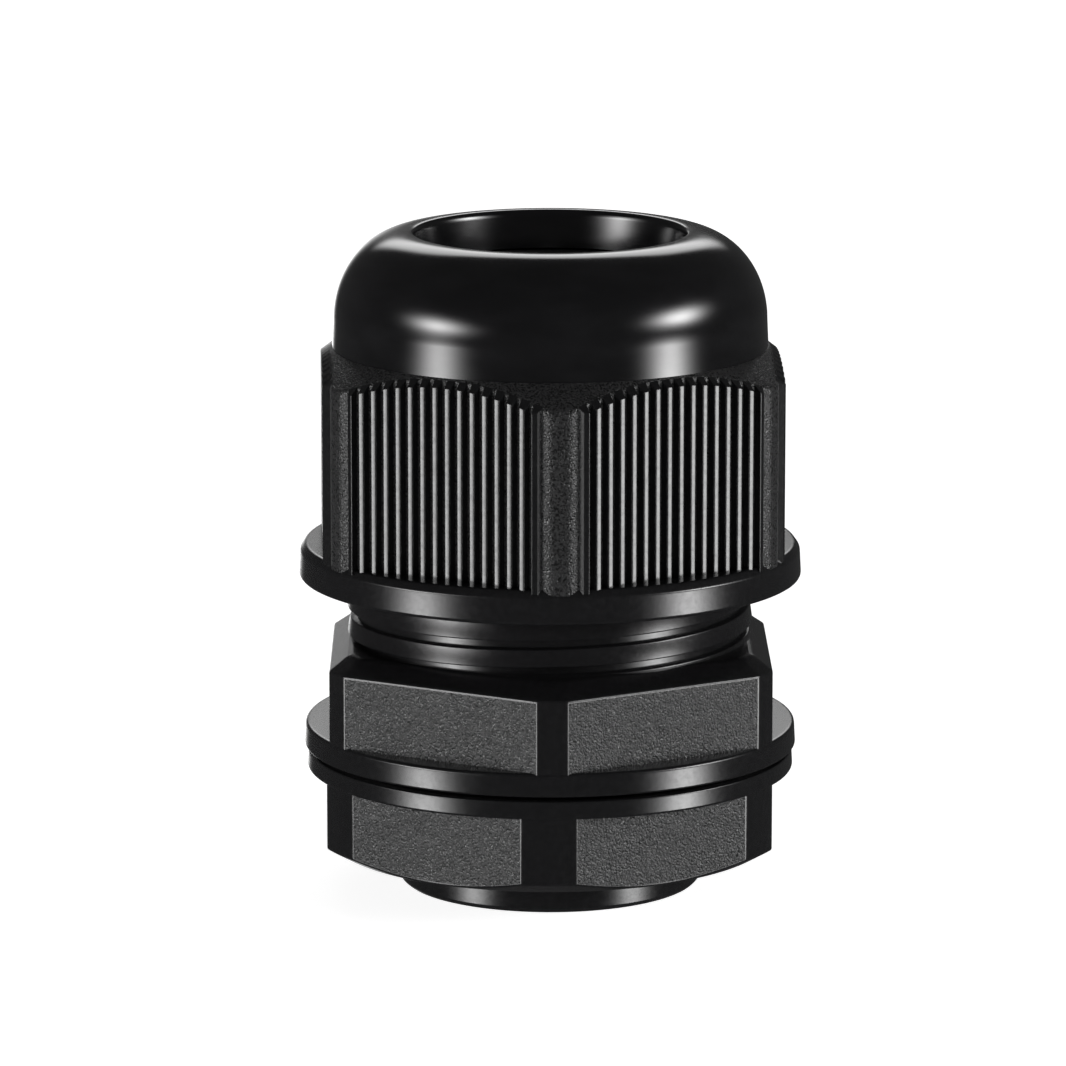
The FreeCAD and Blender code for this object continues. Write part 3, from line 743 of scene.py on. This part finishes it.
def rib_tree():
    """Sets upright ribs side by side on every flat, cut to the corner radius and the sloped top."""
    tree = bpy.data.node_groups.get("Grip ribs")
    if tree:
        return tree
    tree = bpy.data.node_groups.new("Grip ribs", "GeometryNodeTree")
    tree.interface.new_socket(name="Geometry", in_out="OUTPUT", socket_type="NodeSocketGeometry")
    source = group_inputs(tree, [
        ("Geometry", "NodeSocketGeometry", None),
        ("Ribs", "NodeSocketInt", 16),
        ("Pitch", "NodeSocketFloat", 0.001),
        ("Apothem", "NodeSocketFloat", 0.0166),
        ("Corner Radius", "NodeSocketFloat", 0.0186),
        ("Bottom", "NodeSocketFloat", 0.026),
        ("Corner Top", "NodeSocketFloat", 0.039),
        ("Slope", "NodeSocketFloat", 0.8),
        ("Turn", "NodeSocketFloat", 0.0),
        ("Material", "NodeSocketMaterial", None),
    ])
    inputs = source.outputs
    count = calc(tree, "MULTIPLY", inputs["Ribs"], float(FLATS))
    points = add_node(tree, "GeometryNodePoints")
    feed(tree, points.inputs["Count"], count)
    number = add_node(tree, "GeometryNodeCaptureAttribute", domain="POINT")
    number.capture_items.new("INT", "Number")
    feed(tree, number.inputs["Geometry"], points.outputs[0])
    feed(tree, number.inputs["Number"], add_node(tree, "GeometryNodeInputIndex").outputs[0])
    place = add_node(tree, "GeometryNodeInstanceOnPoints")
    feed(tree, place.inputs["Points"], number.outputs["Geometry"])
    feed(tree, place.inputs["Instance"], inputs["Geometry"])
    real = add_node(tree, "GeometryNodeRealizeInstances")
    feed(tree, real.inputs[0], place.outputs[0])
    which = number.outputs["Number"]
    flat = calc(tree, "FLOOR", calc(tree, "DIVIDE", calc(tree, "ADD", which, 0.5), inputs["Ribs"]))
    rib = calc(tree, "SUBTRACT", which, calc(tree, "MULTIPLY", flat, inputs["Ribs"]))
    middle = calc(tree, "MULTIPLY", calc(tree, "SUBTRACT", inputs["Ribs"], 1.0), 0.5)
    shift = calc(tree, "MULTIPLY", calc(tree, "SUBTRACT", rib, middle), inputs["Pitch"])
    split = add_node(tree, "ShaderNodeSeparateXYZ")
    feed(tree, split.inputs[0], add_node(tree, "GeometryNodeInputPosition").outputs[0])
    upright, across, out = split.outputs
    side = calc(tree, "ADD", across, shift)
    face = calc(tree, "ADD", out, inputs["Apothem"])
    face_squared = calc(tree, "MULTIPLY", face, face)
    reach = calc(tree, "SQRT", calc(tree, "MULTIPLY_ADD", side, side, face_squared))
    kept = calc(tree, "MINIMUM", 1.0, calc(tree, "DIVIDE", inputs["Corner Radius"], reach))
    side = calc(tree, "MULTIPLY", side, kept)
    face = calc(tree, "MULTIPLY", face, kept)
    reach = calc(tree, "MULTIPLY", reach, kept)
    inward = calc(tree, "SUBTRACT", inputs["Corner Radius"], reach)
    top = calc(tree, "MULTIPLY_ADD", inward, inputs["Slope"], inputs["Corner Top"])
    tall = calc(tree, "SUBTRACT", top, inputs["Bottom"])
    height = calc(tree, "MULTIPLY_ADD", upright, tall, inputs["Bottom"])
    angle = calc(tree, "MULTIPLY_ADD", flat, math.radians(FLAT_DEGREES), inputs["Turn"])
    cosine, sine = calc(tree, "COSINE", angle), calc(tree, "SINE", angle)
    put = add_node(tree, "ShaderNodeCombineXYZ")
    feed(tree, put.inputs["X"], calc(tree, "SUBTRACT", calc(tree, "MULTIPLY", face, cosine),
                                     calc(tree, "MULTIPLY", side, sine)))
    feed(tree, put.inputs["Y"], calc(tree, "ADD", calc(tree, "MULTIPLY", face, sine),
                                     calc(tree, "MULTIPLY", side, cosine)))
    feed(tree, put.inputs["Z"], height)
    move = add_node(tree, "GeometryNodeSetPosition")
    feed(tree, move.inputs["Geometry"], real.outputs[0])
    feed(tree, move.inputs["Position"], put.outputs[0])
    end_tree(tree, move.outputs[0], inputs["Material"])
    return tree


def end_tree(tree, geometry, material):
    real = add_node(tree, "GeometryNodeRealizeInstances")
    feed(tree, real.inputs[0], geometry)
    paint = add_node(tree, "GeometryNodeSetMaterial")
    feed(tree, paint.inputs["Geometry"], real.outputs[0])
    feed(tree, paint.inputs["Material"], material)
    sink = tree.nodes.new("NodeGroupOutput")
    feed(tree, sink.inputs["Geometry"], paint.outputs[0])


def grown(name, seed_mesh, tree, material, **values):
    """Run a node tree on a seed mesh and keep the result as a plain mesh."""
    seed = bpy.data.objects.new(name + "_seed", seed_mesh)
    bpy.context.scene.collection.objects.link(seed)
    modifier = seed.modifiers.new("Shape", "NODES")
    modifier.node_group = tree
    for key, value in values.items():
        modifier[socket_id(tree, key.replace("_", " "))] = value
    modifier[socket_id(tree, "Material")] = material
    graph = bpy.context.evaluated_depsgraph_get()
    mesh = bpy.data.meshes.new_from_object(seed.evaluated_get(graph))
    mesh.name = name
    bpy.data.objects.remove(seed)
    finish_mesh(mesh)
    return mesh


def thread_piece(name, material, root, tip, base_width, tip_width, pitch, start, end, angle, fade,
                 lean=0.0):
    """Helical ridge with a buried foot; its upper edge stands back by lean."""
    buried = 0.3 * MM
    side = math.copysign(1.0, tip - root)
    slope = (base_width - tip_width) / abs(tip - root)
    foot = base_width + slope * buried
    depth = abs(tip - root)
    edge = CRISP_EDGE
    ridge = [(depth * side, -tip_width / 2, edge), ((depth - lean) * side, tip_width / 2, edge),
             (-buried * side, foot / 2, 0), (-buried * side, -foot / 2, 0)]
    outline = [tuple(p) for p in rounded(ridge)]
    turns = (end - start) / pitch
    bar = bar_mesh(name + "_bar", outline, 1.0, int(turns * 96))
    mesh = grown(name, bar, thread_tree(), material, Root_Radius=root, Pitch=pitch, Turns=turns,
                 Start_Height=start, Start_Angle=angle, Fade_Turns=fade)
    return new_piece(name, mesh, material)


def settle(piece, body, node):
    """Hand a finished piece to the frame: attach it to its body and hide the node it stands for."""
    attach(piece, body)
    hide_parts(node)


# Operators


class GLAND_OT_dome_nut(bpy.types.Operator):
    """Build the dome nut: polished dome, ribbed grip, flange and inside thread"""
    bl_idname = "gland.dome_nut"
    bl_label = "Dome Nut"

    def execute(self, context):
        sizes = context.scene.gland_dome_nut
        self.dome(sizes)
        self.grip(sizes)
        self.ribs(sizes)
        self.flange(sizes)
        self.thread(sizes)
        return {"FINISHED"}

    def dome(self, sizes):
        crown = NUT_HIGH.z
        curve_start = crown - sizes.curve_height
        land = sizes.dome_radius - sizes.curve_width
        stop = crown - sizes.mouth_depth
        bore_top = NUT_LOW.z + sizes.bore_depth
        wall_top = sizes.dome_start - 0.2 * MM
        curve_steps = 40
        section = [(sizes.mouth_radius, stop, 0.0)]
        section.append((sizes.mouth_radius + sizes.mouth_flare, crown, sizes.mouth_lip))
        for step in range(curve_steps + 1):
            angle = math.pi / 2 * (1 - step / curve_steps)
            section.append((land - sizes.wall_lean + sizes.curve_width * math.cos(angle),
                            curve_start + sizes.curve_height * math.sin(angle), 0.0))
        section += [
            (sizes.dome_radius, wall_top, 0.0),
            (sizes.dome_radius, NUT_LOW.z + sizes.core_start, 0.0),
            (sizes.bore_radius, NUT_LOW.z + sizes.core_start, 0.0),
            (sizes.bore_radius, bore_top, 0.0),
            (sizes.cone_low, bore_top + sizes.bore_slope, ROUND_EDGE),
            (sizes.cone_low, bore_top + sizes.cone_start, WIDE_EDGE),
            (sizes.cone_high, stop, FINE_EDGE),
        ]
        mesh = turned("dome_nut_dome", section)
        piece = new_piece("dome_nut_dome", mesh, polished_nylon())
        settle(piece, "dome_nut", "dome_nut")

    def top_slope(self, sizes):
        return (sizes.dome_start - sizes.corner_top) / (sizes.corner_radius - sizes.dome_radius)

    def grip(self, sizes):
        bottom = NUT_LOW.z + sizes.flange_edge
        inner = sizes.dome_radius - BURY
        clear_of_dome = 0.05 * MM
        slope = self.top_slope(sizes)

        def section_of(radius):
            top = sizes.corner_top + (sizes.corner_radius - radius) * slope
            boundary = sizes.dome_start
            return [
                (inner, bottom, 0.0),
                (radius, bottom, 0.0),
                (radius, top, EASED_EDGE),
                (sizes.dome_radius + clear_of_dome, boundary, 0.0),
                (inner, boundary - HAIR_STEP, 0.0),
            ]

        columns = hex_columns(sizes.valley_width, sizes.corner_radius, SOFT_EDGE, sizes.grip_turn)
        mesh = hex_mesh("dome_nut_grip", columns, section_of)
        piece = new_piece("dome_nut_grip", mesh, grained_nylon())
        weigh_normals(piece)
        settle(piece, "dome_nut", "dome_nut")

    def ribs(self, sizes):
        buried = 0.15 * MM
        spread = 0.05 * MM
        half_base, half_tip = sizes.rib_base / 2, sizes.rib_tip / 2
        tall = sizes.rib_height
        edge = 0.07 * MM
        outline = [tuple(p) for p in rounded([
            (-half_base - spread, -buried, 0.0),
            (-half_base, 0.0, 0.0),
            (-half_tip, tall, edge),
            (half_tip, tall, edge),
            (half_base, 0.0, 0.0),
            (half_base + spread, -buried, 0.0),
        ])]
        bar = bar_mesh("rib_bar", list(reversed(outline)), 1.0, 2)
        foot = NUT_LOW.z + sizes.flange_height - 0.3 * MM
        mesh = grown(
            "dome_nut_ribs", bar, rib_tree(), satin_nylon(),
            Ribs=sizes.ribs, Pitch=sizes.rib_pitch, Apothem=sizes.valley_width / 2,
            Corner_Radius=sizes.corner_radius, Bottom=foot, Corner_Top=sizes.corner_top,
            Slope=self.top_slope(sizes), Turn=sizes.grip_turn)
        piece = new_piece("dome_nut_ribs", mesh, satin_nylon())
        settle(piece, "dome_nut", "dome_nut")

    def flange(self, sizes):
        low = NUT_LOW.z
        rim = sizes.flange_radius
        draft = sizes.flange_edge * EDGE_DRAFT
        lead_slope = 0.01 * MM
        section = [
            (sizes.bore_radius + sizes.bore_lead, low, FINE_EDGE),
            (rim, low, SOFT_EDGE),
            (rim - draft, low + sizes.flange_edge, CRISP_EDGE),
            (rim - sizes.flange_bevel, low + sizes.flange_height, ROUND_EDGE),
            (sizes.dome_radius, low + sizes.flange_height, 0.0),
            (sizes.bore_radius + lead_slope, low + sizes.flange_height, 0.0),
            (sizes.bore_radius, low + sizes.bore_lead, 0.0),
        ]
        mesh = turned("dome_nut_flange", section)
        piece = new_piece("dome_nut_flange", mesh, satin_nylon())
        weigh_normals(piece)
        settle(piece, "dome_nut", "dome_nut")

    def thread(self, sizes):
        body = bpy.context.scene.gland_body
        start = body.thread_start + CAP_PITCH / 2
        start += math.ceil((NUT_LOW.z + sizes.core_start - start) / CAP_PITCH) * CAP_PITCH
        end = NUT_LOW.z + sizes.bore_depth - THREAD_END
        piece = thread_piece("dome_nut_thread", satin_nylon(), sizes.bore_radius, sizes.thread_tip,
                             sizes.thread_base, sizes.thread_crest, CAP_PITCH, start, end,
                             angle=THREAD_ANGLE, fade=0.06)
        settle(piece, "dome_nut", "dome_nut")


class GLAND_OT_body(bpy.types.Operator):
    """Build the gland body: entry end, flange, hexagon, shoulder and both threads"""
    bl_idname = "gland.body"
    bl_label = "Gland Body"

    def execute(self, context):
        sizes = context.scene.gland_body
        self.core(sizes)
        self.hexagon(sizes)
        self.threads(sizes)
        return {"FINISHED"}

    def core(self, sizes):
        under, top = sizes.flange_bottom, sizes.flange_top
        ledge = SEAL_LOW.z - sizes.ledge_gap
        step_top = sizes.pilot_top + sizes.entry_radius - sizes.pilot_radius
        neck_top = BODY_HIGH.z
        section = [
            (sizes.passage_radius + sizes.passage_lead, 0.0, FINE_EDGE),
            (sizes.pilot_radius - sizes.pilot_chamfer, 0.0, FINE_EDGE),
            (sizes.pilot_radius, sizes.pilot_chamfer, FINE_EDGE),
            (sizes.pilot_radius, sizes.pilot_top, HAIR_EDGE),
            (sizes.entry_radius, step_top, HAIR_EDGE),
            (sizes.entry_radius, under, 0.0),
            (sizes.groove_inner, under, 0.0),
            (sizes.groove_inner, under + sizes.groove_depth, 0.0),
            (sizes.groove_outer, under + sizes.groove_depth, 0.0),
            (sizes.groove_outer, under, THIN_EDGE),
            (sizes.flange_radius, under, NEAT_EDGE),
            (sizes.flange_radius - (top - under) * EDGE_DRAFT, top, SOFT_EDGE),
            (sizes.neck_radius, top, 0.0),
            (sizes.neck_radius, neck_top, FULL_EDGE),
            (sizes.pocket_radius, neck_top, ROUND_EDGE),
            (sizes.pocket_radius, ledge, FINE_EDGE),
            (sizes.passage_radius, ledge, FINE_EDGE),
            (sizes.passage_radius, sizes.passage_lead, FINE_EDGE),
        ]
        mesh = turned("gland_body_core", section)
        piece = new_piece("gland_body_core", mesh, satin_nylon())
        weigh_normals(piece)
        settle(piece, "gland_body", "gland_body")

    def hexagon(self, sizes):
        inner = sizes.neck_radius - BURY
        share = 1 - 2 * sizes.shoulder_inset / sizes.across_flats
        low = sizes.flange_top - BURY

        def section_of(radius):
            return [
                (inner, low, 0.0),
                (radius, low, 0.0),
                (radius, sizes.flats_top, NEAT_EDGE),
                (radius * share, sizes.shoulder_top, SOFT_EDGE),
                (inner, sizes.shoulder_top + HAIR_STEP, 0.0),
            ]

        columns = hex_columns(sizes.across_flats, sizes.corner_radius, NEAT_EDGE)
        mesh = hex_mesh("gland_body_hexagon", columns, section_of)
        piece = new_piece("gland_body_hexagon", mesh, satin_nylon())
        mesh.materials.append(grained_nylon())
        paint_flats(mesh)
        weigh_normals(piece)
        settle(piece, "gland_body", "gland_body")

    def threads(self, sizes):
        upper = thread_piece(
            "gland_body_upper_thread", satin_nylon(), sizes.neck_radius, sizes.crest_radius,
            sizes.thread_base, sizes.thread_crest, CAP_PITCH, sizes.thread_start,
            BODY_HIGH.z - sizes.thread_stop, angle=THREAD_ANGLE, fade=0.12, lean=sizes.crest_lean)
        settle(upper, "gland_body", "gland_body")
        entry = thread_piece(
            "gland_body_entry_thread", satin_nylon(), sizes.entry_radius, sizes.entry_crest,
            sizes.entry_base, sizes.entry_tip, ENTRY_PITCH, sizes.entry_start,
            sizes.flange_bottom, angle=0.0, fade=0.08)
        settle(entry, "gland_body", "gland_body")


def paint_flats(mesh, turned_by=0.0):
    """Give the upright spanner flats the second, grained material."""
    start = math.degrees(turned_by)
    upright = 0.02
    facing = 0.5
    corner = 28

    def from_flat(direction):
        angle = (math.degrees(math.atan2(direction.y, direction.x)) - start) % FLAT_DEGREES
        return min(angle, FLAT_DEGREES - angle)

    for face in mesh.polygons:
        level = abs(face.normal.z) < upright
        if level and from_flat(face.normal) < facing and from_flat(face.center) < corner:
            face.material_index = 1


class GLAND_OT_fingers(bpy.types.Operator):
    """Build the clamping fingers, each shaped with a bend line where it leaves the body"""
    bl_idname = "gland.fingers"
    bl_label = "Clamping Fingers"

    def execute(self, context):
        sizes = context.scene.gland_fingers
        for number in range(FINGERS):
            self.finger(sizes, number)
        return {"FINISHED"}

    def finger(self, sizes, number):
        name = f"clamping_finger_{number + 1:02d}"
        middle = math.tau * number / FINGERS
        half_root = sizes.root_width / 2
        inner = sizes.inner_radius
        top = FINGER_HIGH.z
        root = BODY_HIGH.z - sizes.root_depth
        bend = sizes.pivot_height
        section = rounded([
            (sizes.pivot_radius - half_root, root, 0.0),
            (sizes.pivot_radius + half_root, root, 0.0),
            (sizes.pivot_radius + half_root, bend - sizes.bend_row, 0.0),
            (sizes.pivot_radius + half_root, bend, 0.0),
            (sizes.pivot_radius + half_root, bend + sizes.outer_rise, 0.0),
            (sizes.outer_radius, sizes.taper_start, WIDE_EDGE),
            (sizes.tip_radius, top, SMALL_EDGE),
            (inner, top, SOFT_EDGE),
            (inner, bend + sizes.inner_rise, SOFT_EDGE),
            (sizes.pivot_radius - half_root, bend, 0.0),
            (sizes.pivot_radius - half_root, bend - sizes.bend_row, 0.0),
        ])
        steps = 8
        half_sector = math.pi / FINGERS
        verts, faces = [], []
        rows = len(section)
        for step in range(steps + 1):
            share = 2 * step / steps - 1
            for point in section:
                limit = half_sector - math.asin(sizes.slot / 2 / point.x)
                angle = middle + limit * share
                verts.append((point.x * math.cos(angle), point.x * math.sin(angle), point.y))
        for column in range(steps):
            for row in range(rows):
                above = (row + 1) % rows
                faces.append((column * rows + row, (column + 1) * rows + row,
                              (column + 1) * rows + above, column * rows + above))
        faces.append(tuple(range(rows)))
        faces.append(tuple(steps * rows + row for row in reversed(range(rows))))
        mesh = bpy.data.meshes.new(name)
        mesh.from_pydata(verts, [], faces)
        finish_mesh(mesh)
        piece = new_piece(name + "_leaf", mesh, satin_nylon())
        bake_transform(piece)
        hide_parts(name)


class GLAND_OT_seal(bpy.types.Operator):
    """Build the rubber sealing insert"""
    bl_idname = "gland.seal"
    bl_label = "Sealing Insert"

    def execute(self, context):
        low, high = SEAL_LOW.z, SEAL_HIGH.z
        outer = SEAL_HIGH.x
        sizes = context.scene.gland_seals
        bore, neck = sizes.bore, sizes.neck
        neck_start = low + sizes.neck_start
        section = [
            (bore, low, EASED_EDGE),
            (outer, low, RUBBER_EDGE),
            (outer, neck_start, SOFT_EDGE),
            (neck, neck_start + sizes.neck_slope, SOFT_EDGE),
            (neck, high, RUBBER_EDGE),
            (bore, high, EASED_EDGE),
        ]
        steps = 24
        margin = 1.0 * MM
        inside = [(bore, high - margin - (high - low - 2 * margin) * i / steps, 0.0)
                  for i in range(steps + 1)]
        mesh = turned("sealing_insert", section + inside, columns=128)
        piece = new_piece("sealing_insert_bush", mesh, seal_rubber())
        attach(piece, "sealing_insert")
        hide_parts("sealing_insert")
        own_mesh(piece)
        return {"FINISHED"}


class GLAND_OT_gasket(bpy.types.Operator):
    """Build the flat gasket"""
    bl_idname = "gland.gasket"
    bl_label = "Flat Gasket"

    def execute(self, context):
        inner, outer = context.scene.gland_seals.gasket_bore, GASKET_HIGH.x
        low, high = GASKET_LOW.z, GASKET_HIGH.z
        edge = CRISP_EDGE
        section = [(inner, low, edge), (outer, low, edge), (outer, high, edge), (inner, high, edge)]
        mesh = turned("flat_gasket", section)
        piece = new_piece("flat_gasket_ring", mesh, seal_rubber())
        settle(piece, "flat_gasket", "flat_gasket")
        return {"FINISHED"}


class GLAND_OT_locknut(bpy.types.Operator):
    """Build the flanged locknut with its thread"""
    bl_idname = "gland.locknut"
    bl_label = "Locknut"

    def execute(self, context):
        sizes = context.scene.gland_locknut
        self.nut(sizes)
        self.collar(sizes)
        self.thread(sizes)
        return {"FINISHED"}

    def nut(self, sizes):
        low, high = LOCK_LOW.z, sizes.top
        inner = sizes.bore_radius
        lead_in = sizes.bore_lead
        least_chamfer = 0.05 * MM
        top = high - 0.3 * MM
        rise = math.tan(math.radians(30.0))

        def section_of(radius):
            start = min(sizes.chamfer_radius, radius - least_chamfer)
            chamfer = low + (radius - start) * rise
            return [
                (inner + lead_in, low, FINE_EDGE),
                (start, low, SMALL_EDGE),
                (radius, chamfer, SMALL_EDGE),
                (radius, top, 0.0),
                (inner, top, 0.0),
                (inner, low + lead_in, FINE_EDGE),
            ]

        columns = hex_columns(sizes.across_flats, sizes.corner_radius, NEAT_EDGE, sizes.turn)
        mesh = hex_mesh("locknut_hexagon", columns, section_of)
        piece = new_piece("locknut_hexagon", mesh, satin_nylon())
        mesh.materials.append(grained_nylon())
        paint_flats(mesh, sizes.turn)
        weigh_normals(piece)
        settle(piece, "locknut", "locknut")

    def collar(self, sizes):
        high = sizes.top
        low = high - sizes.flange_height
        section = [
            (sizes.bore_radius, low, 0.0),
            (sizes.flange_radius, low, ROUND_EDGE),
            (sizes.flange_radius - sizes.flange_height * EDGE_DRAFT, high, BROKEN_EDGE),
            (sizes.bore_radius + sizes.collar_lead, high, FINE_EDGE),
            (sizes.bore_radius, high - sizes.collar_lead, FINE_EDGE),
        ]
        mesh = turned("locknut_collar", section)
        piece = new_piece("locknut_collar", mesh, satin_nylon())
        weigh_normals(piece)
        settle(piece, "locknut", "locknut")

    def thread(self, sizes):
        body = bpy.context.scene.gland_body
        start = body.entry_start + ENTRY_PITCH / 2
        piece = thread_piece("locknut_thread", satin_nylon(), sizes.bore_radius, sizes.thread_tip,
                             sizes.thread_base, sizes.thread_crest, ENTRY_PITCH, start,
                             sizes.top - sizes.thread_stop, angle=0.0, fade=0.08)
        settle(piece, "locknut", "locknut")


class GLAND_OT_stage(bpy.types.Operator):
    """Build the floor, the softboxes, the surroundings and the camera"""
    bl_idname = "gland.stage"
    bl_label = "Stage"

    def execute(self, context):
        sizes = context.scene.gland_stage
        self.floor(sizes)
        self.surroundings()
        self.camera(sizes)
        return {"FINISHED"}

    def floor(self, sizes):
        half = sizes.floor_size / 2
        mesh = bpy.data.meshes.new("floor")
        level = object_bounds()[0].z
        corners = [(-half, -half, level), (half, -half, level),
                   (half, half, level), (-half, half, level)]
        mesh.from_pydata(corners, [], [(0, 1, 2, 3)])
        material, tree, shader = surface("Pale floor")
        speckle = add_node(tree, "ShaderNodeTexNoise")
        speckle.inputs["Scale"].default_value = 40.0
        feed(tree, shader.inputs["Base Color"],
             tinted(tree, speckle.outputs["Fac"], sizes.floor_colour, 1.01))
        shader.inputs["Roughness"].default_value = 0.9
        shader.inputs["Specular IOR Level"].default_value = 0.0
        shader.inputs["Emission Color"].default_value = (1.0, 1.0, 1.0, 1.0)
        shader.inputs["Emission Strength"].default_value = 0.85
        floor = new_piece("floor", mesh, material)
        floor.visible_glossy = False
        floor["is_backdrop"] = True

    def surroundings(self):
        """White to the camera; to the gland, a dim room with softboxes."""
        world = bpy.data.worlds.new("Studio")
        world.use_nodes = True
        tree = world.node_tree
        tree.nodes.clear()
        total = ROOM_GLOW
        for box in SOFTBOXES:
            glow = place_group(tree, glow_group(), **{
                "Azimuth": math.radians(box[0]), "Elevation": math.radians(box[1]),
                "Half Width": math.radians(box[2]), "Half Height": math.radians(box[3]),
                "Edge": box[4], "Strength": box[5]})
            total = calc(tree, "ADD", total, glow.outputs["Glow"])
        room = add_node(tree, "ShaderNodeBackground")
        feed(tree, room.inputs["Color"], total)
        seen = add_node(tree, "ShaderNodeBackground")
        seen.inputs["Color"].default_value = (1.0, 1.0, 1.0, 1.0)
        mix = add_node(tree, "ShaderNodeMixShader")
        path = add_node(tree, "ShaderNodeLightPath")
        feed(tree, mix.inputs[0], path.outputs["Is Camera Ray"])
        feed(tree, mix.inputs[1], room.outputs[0])
        feed(tree, mix.inputs[2], seen.outputs[0])
        sink = add_node(tree, "ShaderNodeOutputWorld")
        feed(tree, sink.inputs["Surface"], mix.outputs[0])
        scene = bpy.context.scene
        scene.world = world
        scene.view_settings.view_transform = "Standard"

    def camera(self, sizes):
        camera = bpy.data.cameras.new("Camera")
        camera.sensor_width = 36.0
        camera.lens = sizes.focal_length
        camera.clip_start = 0.01
        camera.clip_end = 50.0
        holder = bpy.data.objects.new("Camera", camera)
        bpy.context.scene.collection.objects.link(holder)
        turn, lift = sizes.camera_side, sizes.camera_height
        level = math.cos(lift)
        away = Vector((math.sin(turn) * level, -math.cos(turn) * level, math.sin(lift)))
        holder.location = Vector(sizes.aim) + away * sizes.camera_distance
        holder.rotation_euler = away.to_track_quat("Z", "Y").to_euler()
        bpy.context.scene.camera = holder


class GLAND_PT_panel(bpy.types.Panel):
    """Lists the pieces and their sizes"""
    bl_label = "Cable Gland"
    bl_idname = "GLAND_PT_panel"
    bl_space_type = "VIEW_3D"
    bl_region_type = "UI"
    bl_category = "Cable Gland"

    def draw(self, context):
        layout = self.layout
        for operator in OPERATORS:
            layout.operator(operator.bl_idname)
        for attribute, group, title in GROUPS:
            box = layout.box()
            box.label(text=title)
            settings = getattr(context.scene, attribute)
            for key in group.__annotations__:
                box.prop(settings, key)


GROUPS = (
    ("gland_dome_nut", DomeNutSizes, "Dome nut"),
    ("gland_body", BodySizes, "Gland body"),
    ("gland_locknut", LocknutSizes, "Locknut"),
    ("gland_fingers", FingerSizes, "Clamping fingers"),
    ("gland_seals", SealSizes, "Seals"),
    ("gland_finishes", Finishes, "Finishes"),
    ("gland_stage", StageSizes, "Stage"),
)
OPERATORS = (
    GLAND_OT_dome_nut,
    GLAND_OT_body,
    GLAND_OT_fingers,
    GLAND_OT_seal,
    GLAND_OT_gasket,
    GLAND_OT_locknut,
    GLAND_OT_stage,
)


def register():
    for attribute, group, _ in GROUPS:
        bpy.utils.register_class(group)
        setattr(bpy.types.Scene, attribute, PointerProperty(type=group))
    for operator in OPERATORS:
        bpy.utils.register_class(operator)
    bpy.utils.register_class(GLAND_PT_panel)


def unregister():
    bpy.utils.unregister_class(GLAND_PT_panel)
    for operator in reversed(OPERATORS):
        bpy.utils.unregister_class(operator)
    for attribute, group, _ in reversed(GROUPS):
        delattr(bpy.types.Scene, attribute)
        bpy.utils.unregister_class(group)


def main():
    register()
    bpy.ops.gland.dome_nut()
    bpy.ops.gland.body()
    bpy.ops.gland.fingers()
    bpy.ops.gland.seal()
    bpy.ops.gland.gasket()
    bpy.ops.gland.locknut()
    bpy.ops.gland.stage()


if __name__ == "__main__":
    main()
